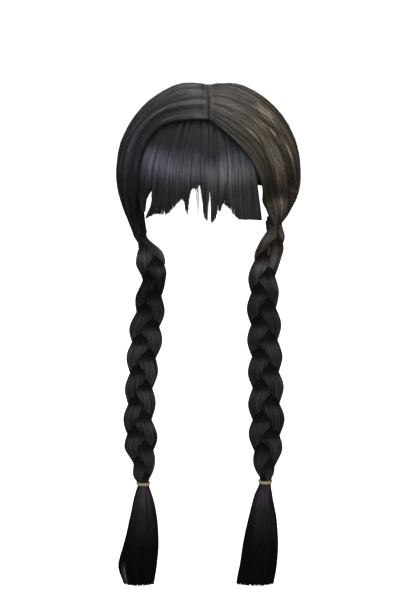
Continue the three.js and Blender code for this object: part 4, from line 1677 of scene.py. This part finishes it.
@dataclass
class Plait:
    """A three-strand plait from its gather down to its elastic."""

    side: Side
    head: Head
    streaks: HairStreaks
    tree: StrandTree
    finish: HairFinish
    width: float = 34
    depth: float = 26
    strand_gap: float = -0.5
    tie_drop: float = 354.7
    tie_raise: float = 0
    swing_across: float = 0.26
    swing_deep: float = 0.27
    reach_across: float = 0.32
    reach_deep: float = 0.24
    reach_deep_at_edge: float = 0.08
    start: float = 0.06
    tying: float = 0.018
    tied_share: float = 1.05
    end: float = 0.985
    elastic_inner: float = 6.5
    tie_height: float = 4
    clearance: float = 0.4
    shell_sides: int = 44
    shell_rings: int = 190
    flow_around: float = 9
    flow_apart: float = 20
    seed: int = 900
    # Painted shade where strands press and go under, and painted highlight at the outer edge.
    pressed_shade: float = 0.85
    under_shade: float = 0.12
    edge_highlight: float = 2
    fibres: int = 56
    fibre_steps: int = 64
    strand_radius: float = 0.42

    @property
    def gather(self) -> Gather:
        """The gather that the plait starts from."""
        return GATHERS[self.side]

    @property
    def length(self) -> float:
        """Length from the gather to the lower edge of the elastic."""
        return self.tie_drop - self.head.rise * self.gather.down

    def place(self, share: Array) -> dict[str, Array]:
        """Width, depth and middle of the plait.

        Args:
            share: Share of its length.

        Returns:
            The sizes by name.
        """
        share = np.clip(share, 0, 1)
        row = PLAIT_ROWS[self.side].read(share)
        neck = 2 * (self.elastic_inner - self.clearance)
        tied_size = self.tied_share * neck / (2 * (self.swing_across + self.reach_across))
        started = smooth(share, 0, self.start)
        end = self.end - self.tie_raise / self.length
        tied = smooth(share, end - self.tying, end)

        def size(begin: float, full: Array) -> Array:
            """A size eased in from the gather and out to the elastic."""
            return mix(mix(begin, full, started), tied_size, tied)

        out = self.head.half_width * self.gather.out + row["out"] * self.width
        return {
            "width": size(2 * self.gather.plait_width, row["width"] * self.width),
            "depth": size(2 * self.gather.half_depth, row["depth"] * self.depth),
            "x": self.side.value * out,
            "y": self.gather.back * (1 - share),
        }

    def phase(self, number: int, share: Array) -> Array:
        """Where a strand is on its way from side to side, a quarter turn being the outer edge."""
        lobes = (share - self.gather.outer_lobe) * self.length / (self.gather.lobe * self.width)
        return np.pi / 2 + 2 * np.pi * (lobes + number) / 3

    def strand(self, number: int, share: Array) -> dict[str, Array]:
        """Centre and reach of one strand.

        Args:
            number: Which of the three.
            share: Share of the plait's length.

        Returns:
            The sizes by name.
        """
        plait = self.place(share)
        phase = self.phase(number, share)
        edge = self.reach_deep + self.reach_deep_at_edge * np.sin(phase) ** 2
        return {
            "x": plait["x"] + self.side.value * self.swing_across * plait["width"] * np.sin(phase),
            "y": plait["y"] - self.swing_deep * plait["depth"] * np.sin(2 * phase),
            "reach_x": self.reach_across * plait["width"],
            "reach_y": edge * plait["depth"],
        }

    def reach(self, number: int, share: Array, angle: Array) -> tuple[Array, Array]:
        """How far a strand reaches from its centre.

        Args:
            number: Which of the three.
            share: Share of the plait's length.
            angle: Angle round the strand.

        Returns:
            The reach, and how hard a neighbour presses there, 0 to 1.
        """
        here = self.strand(number, share)
        c, s = np.cos(angle), np.sin(angle)
        free = 1 / np.hypot(c / here["reach_x"], s / here["reach_y"])
        reach = free
        for turn in (1, 2):
            other = self.strand((number + turn) % 3, share)
            dx, dy = other["x"] - here["x"], other["y"] - here["y"]
            apart = np.hypot(dx, dy)
            towards = np.maximum((c * dx + s * dy) / apart, 1e-6)
            reach = np.minimum(reach, (apart - self.strand_gap) / 2 / towards)
        return reach, smooth(1 - reach / free, 0.0, 0.35)

    def at(self, number: int, share: Array, angle: Array, proud: Array | float) -> tuple[Array, Array]:
        """Points on a strand's surface.

        Args:
            number: Which of the three.
            share: Share of the plait's length.
            angle: Angle round the strand.
            proud: Height over the surface.

        Returns:
            The points, and how hard a neighbour presses there.
        """
        here = self.strand(number, share)
        reach, pressed = self.reach(number, share, angle)
        reach = reach + proud
        top = self.gather.point(self.head)[2] - self.clearance
        z = top - share * self.length
        x, y = here["x"] + reach * np.cos(angle), here["y"] + reach * np.sin(angle)
        return np.stack([x, y, z + 0 * x], axis=-1), pressed

    def shell(self, number: int) -> bpy.types.Object:
        """The body of one strand, with shallow grooves along it.

        Args:
            number: Which of the three.

        Returns:
            The body.
        """
        angle = 2 * np.pi * np.arange(self.shell_sides)[None, :] / self.shell_sides
        share = np.linspace(-0.02, 0.997, self.shell_rings)[:, None] + 0 * angle
        twist = 1.6 * share + 0.2 * np.sin(9 * share + number)
        ridge = 0.35 * np.cos(11 * (angle + twist)) + 0.2 * np.cos(17 * (angle - twist) + number)
        rings, pressed = self.at(number, share, angle + 0 * share, ridge - 0.35)
        around = self.flow_around * angle + self.flow_apart * number + 0 * share
        flow = np.stack([around, self.length * share, 0.4 + 0 * share], axis=-1)
        # The body under the fibres is painted darker, as shade between them.
        shade = 0.8 * self.shade(number, share, pressed)
        return Shell(rings, flow, shade).build(f"plait_body_{self.side.label}_{number}")

    def shade(self, number: int, share: Array, pressed: Array) -> Array:
        """Painted highlight where a strand stands out at the edge, painted shade where it goes under another,
        and the painted light along the plait, lighter at its top.

        Args:
            number: Which of the three.
            share: Share of the plait's length.
            pressed: How hard a neighbour presses there.

        Returns:
            The brightness.
        """
        out = smooth(np.abs(np.sin(self.phase(number, share))), 0.35, 0.97)
        out = np.maximum(out, 0.5 * (1 - smooth(share, 0.02, 0.07)))
        tone = mix(self.under_shade, self.edge_highlight, out)
        return (1 - self.pressed_shade * pressed) * tone * PLAIT_PAINTED_LIGHT[self.side].read(share)["tone"]

    def strands(self, number: int) -> Strands:
        """The fibres on one strand of the plait.

        Args:
            number: Which of the three.

        Returns:
            The fibres.
        """
        rng = np.random.default_rng(self.seed + 10 * number + self.side.value)
        count, steps = self.fibres, self.fibre_steps
        column = (count, 1)
        share = np.linspace(-0.02, 0.998, steps)[None, :] + rng.uniform(-0.001, 0.001, column)
        first = 2 * np.pi * (np.arange(count)[:, None] + rng.random(column)) / count
        drift = 0.9 * rng.normal(0, 0.35, column) * share
        drift = drift + 0.07 * sines(rng, column, share, 3, 7)
        angle = first + drift + 1.2 * share
        lift = rng.uniform(-0.3, 0.12, column)
        lift = lift + 0.15 * sines(rng, column, share, 4, 9)
        paths, pressed = self.at(number, share, angle, lift)
        taper = np.minimum(smooth(share, -0.03, 0.01), smooth(1.005 - share, 0, 0.03))
        radius = self.strand_radius * rng.uniform(0.75, 1.25, column) * mix(0.5, 1, taper)
        tint = rng.random(column) + 0 * share
        around = self.flow_around * first + self.flow_apart * number + 0 * share
        flow = np.stack([around, self.length * share, tint], axis=-1)
        return Strands(paths, radius, flow, self.shade(number, share, pressed) * mix(0.85, 1.15, tint))

    def build(self) -> list[bpy.types.Object]:
        """The three strands as dressed pieces.

        Returns:
            The pieces.
        """
        finish = self.finish.material(self.streaks)
        pieces = []
        for number in range(3):
            name = f"hair_plait_{self.side.label}_{number + 1}"
            piece = dressed(name, self.shell(number), self.strands(number), self.tree, finish)
            node = f"plait_{self.side.label}_strand_{number + 1}"
            pieces.append(hang(piece, node, "plait_hair"))
        return pieces

    def tie(self) -> Array:
        """The middle of the elastic."""
        level = -self.head.rise - self.tie_drop + self.tie_height / 2 + self.tie_raise
        return np.array([float(self.place(np.array(1.0))["x"]), 0, level])


@dataclass
class Elastic:
    """A small covered elastic wound three times round the end of a plait."""

    side: Side
    tie: Array
    tree: StrandTree
    finish: ThreadFinish = ThreadFinish()
    inner: float = 6.5
    thickness: float = 1.2
    height: float = 4
    turns: int = 3

    def build(self) -> bpy.types.Object:
        """The wound elastic as a dressed piece.

        Returns:
            The piece.
        """
        rng = np.random.default_rng(40 + self.side.value)
        material = self.finish.material()
        half = self.height / self.turns / 2
        steps = 60 * self.turns
        t = np.linspace(-0.04, 1.04, steps)[None, :]
        angle = 2 * np.pi * self.turns * t + 1.2
        middle = self.inner + self.thickness / 2 + 0.15 * np.sin(3.3 * angle / self.turns + rng.uniform(0, 6))
        ends = np.minimum(smooth(t, -0.04, 0.02), smooth(1.04 - t, 0, 0.06))
        middle = mix(middle - 0.9, middle, ends)
        level = (self.height - 2 * half) * (0.5 - t) + 0.18 * np.sin(angle + 0.7)
        x, y = middle * np.cos(angle), middle * np.sin(angle)
        paths = np.stack([x, y, level], axis=-1) + self.tie
        radius = half * 1.06 * mix(0.6, 1, ends) + 0 * t
        flow = np.stack([0 * t, middle * angle, 0.5 + 0 * t], axis=-1)
        lines = Strands(paths, radius, flow, 1 + 0 * t).lines(f"elastic_wound_{self.side.label}")
        piece = self.tree.tubes(lines, material, sides=12)
        piece = join_objects(f"elastic_wound_{self.side.label}", [piece])
        return hang(piece, f"elastic_{self.side.label}", "elastic")


TAIL_ROWS = {
    Side.LEFT: Rows(
        "lean wide deep",
        (0, 0, 0.31, 0.46),
        (0.13, -0.11, 0.47, 0.6),
        (0.34, -0.14, 0.7, 0.8),
        (0.6, -0.21, 0.88, 0.95),
        (0.8, -0.31, 0.94, 1),
        (1, -0.5, 0.95, 0.95),
    ),
    Side.RIGHT: Rows(
        "lean wide deep",
        (0, 0, 0.31, 0.46),
        (0.15, 0, 0.51, 0.62),
        (0.34, -0.01, 0.69, 0.8),
        (0.6, -0.11, 0.87, 0.95),
        (0.82, -0.29, 0.96, 1),
        (1, -0.24, 0.77, 0.9),
    ),
}


@dataclass
class Tail:
    """The loose hair below an elastic, cut level."""

    side: Side
    tie: Array
    streaks: HairStreaks
    tree: StrandTree
    finish: HairFinish
    length: float = 111.5
    half_width: float = 22
    half_depth: float = 12
    neck: float = 6.1
    drop: float = 2.8
    outer_count: int = 360
    inner_count: int = 300
    steps: int = 18
    strand_radius: float = 0.46
    seed: int = 700
    level_share: float = 0.9
    flow_around: float = 18
    side_shade: float = 0.3
    middle_shade: float = 1.3
    low_shade: float = 0.07
    glint: float = 0.0
    glint_angle: float = 3.85

    def place(self, share: Array, angle: Array, fill: Array | float) -> Array:
        """Points of the brush.

        Args:
            share: Share of the length, below 0 inside the elastic.
            angle: Angle round the brush.
            fill: Share of the way from its middle to its outer face.

        Returns:
            The points.
        """
        held = np.clip(share, 0, 1)
        row = TAIL_ROWS[self.side].read(held)
        loose = smooth(held, 0, 0.05)
        wide = mix(self.neck, self.half_width * row["wide"], loose)
        deep = mix(self.neck, self.half_depth * row["deep"], loose)
        x = self.tie[0] + self.half_width * row["lean"] + wide * fill * np.cos(angle)
        y = self.tie[1] + deep * fill * np.sin(angle)
        z = self.tie[2] - self.drop - share * self.length
        return np.stack([x, y, z + 0 * x], axis=-1)

    def relief(self, share: Array, angle: Array) -> Array:
        """Uneven locks round the brush, as a share of its size.

        Args:
            share: Share of the length.
            angle: Angle round the brush.

        Returns:
            The height of the locks.
        """
        bend = angle + 0.25 * np.sin(3 * share + 2)
        locks = 0.03 * np.cos(9 * bend) + 0.015 * np.cos(23 * bend + 3 * share)
        locks = locks + 0.02 * np.cos(5 * bend - 4 * share)
        return locks * smooth(share, 0.02, 0.2)

    def shade(self, share: Array, angle: Array) -> Array:
        """Painted light on the middle of the upper part, painted shade at the sides and below, and one
        painted glint.

        Args:
            share: Share of the length.
            angle: Angle round the brush.

        Returns:
            The brightness.
        """
        middle = smooth(np.abs(np.sin(angle)), 0.15, 0.95)
        even = mix(self.side_shade, self.middle_shade, middle)
        even = even * mix(1, self.low_shade, smooth(share, 0.2, 0.65))
        near = np.exp(-((((angle - self.glint_angle) / 0.1) ** 2)))
        return even + self.glint * near * smooth(share, 0.78, 0.86) * (1 - smooth(share, 0.93, 1))

    def shell(self) -> bpy.types.Object:
        """The body of the brush.

        Returns:
            The body.
        """
        sides, count = 84, 44
        angle = 2 * np.pi * np.arange(sides)[None, :] / sides
        share = np.linspace(0, 0.985, count)[:, None] + 0 * angle
        rings = self.place(share, angle, 0.95 + self.relief(share, angle))
        around = self.flow_around * angle + 0 * share
        flow = np.stack([around, self.length * share, 0.4 + 0 * share], axis=-1)
        # The body under the fibres is painted darker, as shade between them.
        return Shell(rings, flow, 0.8 * self.shade(share, angle)).build(f"tail_body_{self.side.label}")

    def strands(self) -> Strands:
        """The outer fibres, and the short inner ones that fill the cut end.

        Returns:
            The strands.
        """
        rng = np.random.default_rng(self.seed + self.side.value)
        parts = []
        for count, outer in ((self.outer_count, True), (self.inner_count, False)):
            column = (count, 1)
            t = np.linspace(0, 1, self.steps)[None, :]
            first = 2 * np.pi * (np.arange(count)[:, None] + rng.random(column)) / count
            level = rng.random(column) < self.level_share
            end = 1 + np.where(level, rng.normal(0, 0.002, column), rng.uniform(-0.08, 0.0, column))
            end = np.minimum(end, 1.003)
            begin = rng.uniform(-0.04, 0.02, column) if outer else rng.uniform(0.72, 0.8, column)
            share = begin + (end - begin) * t
            angle = first + 0.09 * sines(rng, column, share, 0.4, 1.2)
            angle = angle + rng.normal(0, 0.06, column) * share
            base = 0.965 if outer else 0.94 * np.sqrt(rng.random(column))
            proud = 0.02 * rng.normal(0, 1, column) * share + self.relief(share, angle)
            proud = proud * (1 if outer else 0)
            fill = mix(0.92, base + proud, smooth(share, 0, 0.1))
            paths = self.place(share, angle, fill)
            taper = mix(0.5, 1, smooth(t, 0, 0.1)) * mix(1, 0.6, smooth(t, 0.85, 1))
            radius = self.strand_radius * rng.uniform(0.75, 1.25, column) * taper
            tint = rng.random(column) + 0 * t
            flow = np.stack([self.flow_around * angle, self.length * share, tint], axis=-1)
            parts.append(Strands(paths, radius, flow, self.shade(share, angle) * mix(0.85, 1.15, tint)))
        return Strands.join(parts)

    def build(self) -> bpy.types.Object:
        """The tail as one dressed piece.

        Returns:
            The piece.
        """
        finish = self.finish.material(self.streaks)
        label = self.side.label
        piece = dressed(f"hair_tail_{label}", self.shell(), self.strands(), self.tree, finish)
        return hang(piece, f"tail_{label}", "tail_hair")


@dataclass
class Cap:
    """The thin fitted cap inside the wig, open below."""

    head: Head
    wall: float = 2
    around: int = 96
    down: int = 30
    net_around: float = 1.5
    net_down: float = 150
    finish: NetFinish = NetFinish()
    hem: Rows = field(
        default_factory=lambda: Rows(
            "above", (0, 24), (40, 12), (72, -20), (92, -11), (118, -14.5), (150, -14.5), (180, -9)
        )
    )

    def build(self) -> bpy.types.Object:
        """The cap as a dressed piece.

        Returns:
            The piece.
        """
        around = 360 * np.arange(self.around) / self.around
        low = self.hem.read(np.minimum(around, 360 - around))["above"]
        fall = np.linspace(0, 1, self.down + 1)[1:, None]
        above = 90 + (low - 90) * fall
        unit = self.head.direction(around + 0 * above, above)
        walls = [self.head.over(unit, lift * (1 + 0 * above)) for lift in (self.wall, 0.0)]
        top = [self.head.over(self.head.direction(0, 90), lift) for lift in (self.wall, 0.0)]
        points = np.concatenate([walls[0].reshape(-1, 3), walls[1].reshape(-1, 3), top])
        size, ring = self.down * self.around, self.around
        faces: list[list[int]] = []
        for i in range(ring):
            n = (i + 1) % ring
            faces.append([2 * size, i, n])
            faces.append([2 * size + 1, size + n, size + i])
            for d in range(self.down - 1):
                a, b, c, e = d * ring + i, d * ring + n, (d + 1) * ring + n, (d + 1) * ring + i
                faces.append([a, e, c, b])
                faces.append([size + a, size + b, size + c, size + e])
            last = (self.down - 1) * ring
            faces.append([last + i, size + last + i, size + last + n, last + n])
        if signed_volume(points, faces) < 0:
            faces = [face[::-1] for face in faces]
        net = [self.net_around * around + 0 * above, self.net_down * fall + 0 * above, 0 * above]
        grid = np.stack(net, axis=-1).reshape(-1, 3)
        flow = np.concatenate([grid, grid, [[0, 0, 0], [0, 0, 0]]])
        piece = mesh_object("cap_net", points, faces, flow, np.ones(len(points)))
        piece.data.materials.append(self.finish.material())
        return hang(piece, "cap", "cap_net")


@dataclass
class Studio:
    """Plain pale floor, soft light and the camera at the photograph's angle."""

    target: tuple[float, float, float] = (-0.00873, 0.0, -0.22934)
    distance: float = 3.67278
    elevation: float = 12
    lens: float = 200
    floor_level: float = -0.64

    def floor(self) -> None:
        """A wide pale floor under the hanging wig."""
        reach = 9.0
        corners = [(-reach, -reach), (reach, -reach), (reach, reach), (-reach, reach)]
        mesh = bpy.data.meshes.new("studio_floor")
        mesh.from_pydata([(x, y, self.floor_level) for x, y in corners], [], [[0, 1, 2, 3]])
        floor = bpy.data.objects.new("studio_floor", mesh)
        bpy.context.scene.collection.objects.link(floor)
        material, w, shader = blank_material("pale_floor")
        place = w.add("ShaderNodeTexCoord").outputs["Object"]
        cloud = w.noise(w.scaled(place, 1.5, 1.5, 1.5), 2.0)
        tone = w.spread(cloud, 0.2, 0.8, 0.0, 1.0)
        pale = w.blend(tone, (0.86, 0.86, 0.86, 1), (0.9, 0.9, 0.9, 1))
        seen = w.add("ShaderNodeLightPath").outputs["Is Camera Ray"]
        w.feed(shader.inputs["Base Color"], w.blend(seen, (0.1, 0.1, 0.1, 1), pale))
        shader.inputs["Roughness"].default_value = 0.9
        shader.inputs["Emission Color"].default_value = (1, 1, 1, 1)
        w.feed(shader.inputs["Emission Strength"], w.spread(seen, 0.0, 1.0, 0.0, 1.0))
        mesh.materials.append(material)

    def light(
        self, name: str, place: tuple[float, float, float], size: Span, power: float, tint: str
    ) -> None:
        """A soft light aimed at the wig.

        Args:
            name: Name of the light.
            place: Where it stands.
            size: Its width and height in metres.
            power: Its power in watts.
            tint: Its colour.
        """
        lamp = bpy.data.lights.new(name, "AREA")
        lamp.shape = "RECTANGLE"
        lamp.size, lamp.size_y = size
        lamp.energy = power
        lamp.color = colour(tint)[:3]
        obj = bpy.data.objects.new(name, lamp)
        obj.location = place
        aim = Vector((0, 0, -0.2)) - Vector(place)
        obj.rotation_euler = aim.to_track_quat("-Z", "Y").to_euler()
        bpy.context.scene.collection.objects.link(obj)

    def camera(self) -> None:
        """The camera, a long lens a little above the wig."""
        rise = math.radians(self.elevation)
        target = Vector(self.target)
        back = Vector((0, -math.cos(rise), math.sin(rise)))
        data = bpy.data.cameras.new("photo_camera")
        data.lens = self.lens
        data.sensor_fit = "VERTICAL"
        data.sensor_height = 36
        data.clip_start, data.clip_end = 0.1, 100
        obj = bpy.data.objects.new("photo_camera", data)
        obj.location = target + back * self.distance
        obj.rotation_euler = (-back).to_track_quat("-Z", "Y").to_euler()
        bpy.context.scene.collection.objects.link(obj)
        bpy.context.scene.camera = obj

    def build(self) -> None:
        """Set up the whole studio."""
        scene = bpy.context.scene
        scene.view_settings.view_transform = "Standard"
        world = bpy.data.worlds.new("studio_air")
        world.use_nodes = True
        sky = world.node_tree.nodes["Background"]
        sky.inputs["Color"].default_value = (1, 1, 1, 1)
        w = NodeWriter(world.node_tree)
        seen = w.add("ShaderNodeLightPath").outputs["Is Camera Ray"]
        w.feed(sky.inputs["Strength"], w.spread(seen, 0.0, 1.0, 0.05, 1.0))
        scene.world = world
        self.floor()
        self.light("front_softbox", (-0.2, -2.9, 1.0), (2.4, 1.0), 70, "f2f5ff")
        self.light("top_softbox", (0.1, 0.3, 2.1), (1.6, 1.2), 45, "ffffff")
        self.light("right_softbox", (2.4, -1.3, 0.3), (0.7, 1.2), 20, "fff0de")
        self.light("back_softbox", (-0.5, 2.8, 0.7), (1.6, 1.0), 16, "ffffff")
        self.light("left_softbox", (-2.4, -1.3, 0.0), (0.7, 1.2), 8, "f4f6ff")
        self.camera()


def main() -> None:
    """Build every piece of the wig in order, then the studio."""
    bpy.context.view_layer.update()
    head = Head()
    streaks = HairStreaks()
    tree = StrandTree()
    Cap(head).build()
    fringe = Fringe(head, streaks, tree)
    fringe.build()
    swept = {
        # The left side's finish is lighter and warmer than the right's: painted warm light on the side the
        # lamps favour, over the same near-black hair.
        Side.LEFT: HairFinish("swept_hair_fibre_warm", "12100c", "685d46", "5b564d", 80, contrast=1.1),
        Side.RIGHT: HairFinish("swept_hair_fibre", "08080a", "2d2d31", "474540", 120),
    }
    plaits = {
        # The left plait's brown sheen near its top carries the swept hair's painted warm light down.
        Side.LEFT: HairFinish(
            "plait_hair_fibre_warm", "030303", "3e3e3d", "5a5145", 60, rough=0.45, gloss=0.18
        ),
        Side.RIGHT: HairFinish("plait_hair_fibre", "030303", "3f3f3e", rough=0.45, gloss=0.18),
    }
    tie_raise = {Side.LEFT: 3.8, Side.RIGHT: 1.7}
    glint = {Side.LEFT: 0.0, Side.RIGHT: 9.0}
    # The tails' upper colour is a painted satin sheen near their top.
    tails = HairFinish("tail_hair_fibre", "020202", "302e2f", "453e43", 32, rough=0.4, gloss=0.14)
    for side in Side:
        SweptHair(side, head, fringe, streaks, tree, swept[side]).build()
        plait = Plait(side, head, streaks, tree, plaits[side], tie_raise=tie_raise[side])
        plait.build()
        tie = plait.tie()
        Elastic(side, tie, tree).build()
        length = Tail.length + tie_raise[side]
        Tail(side, tie, streaks, tree, tails, length=length, glint=glint[side]).build()
    Studio().build()


if __name__ == "__main__":
    logging.basicConfig(level=logging.INFO, format="%(name)s: %(message)s")
    main()
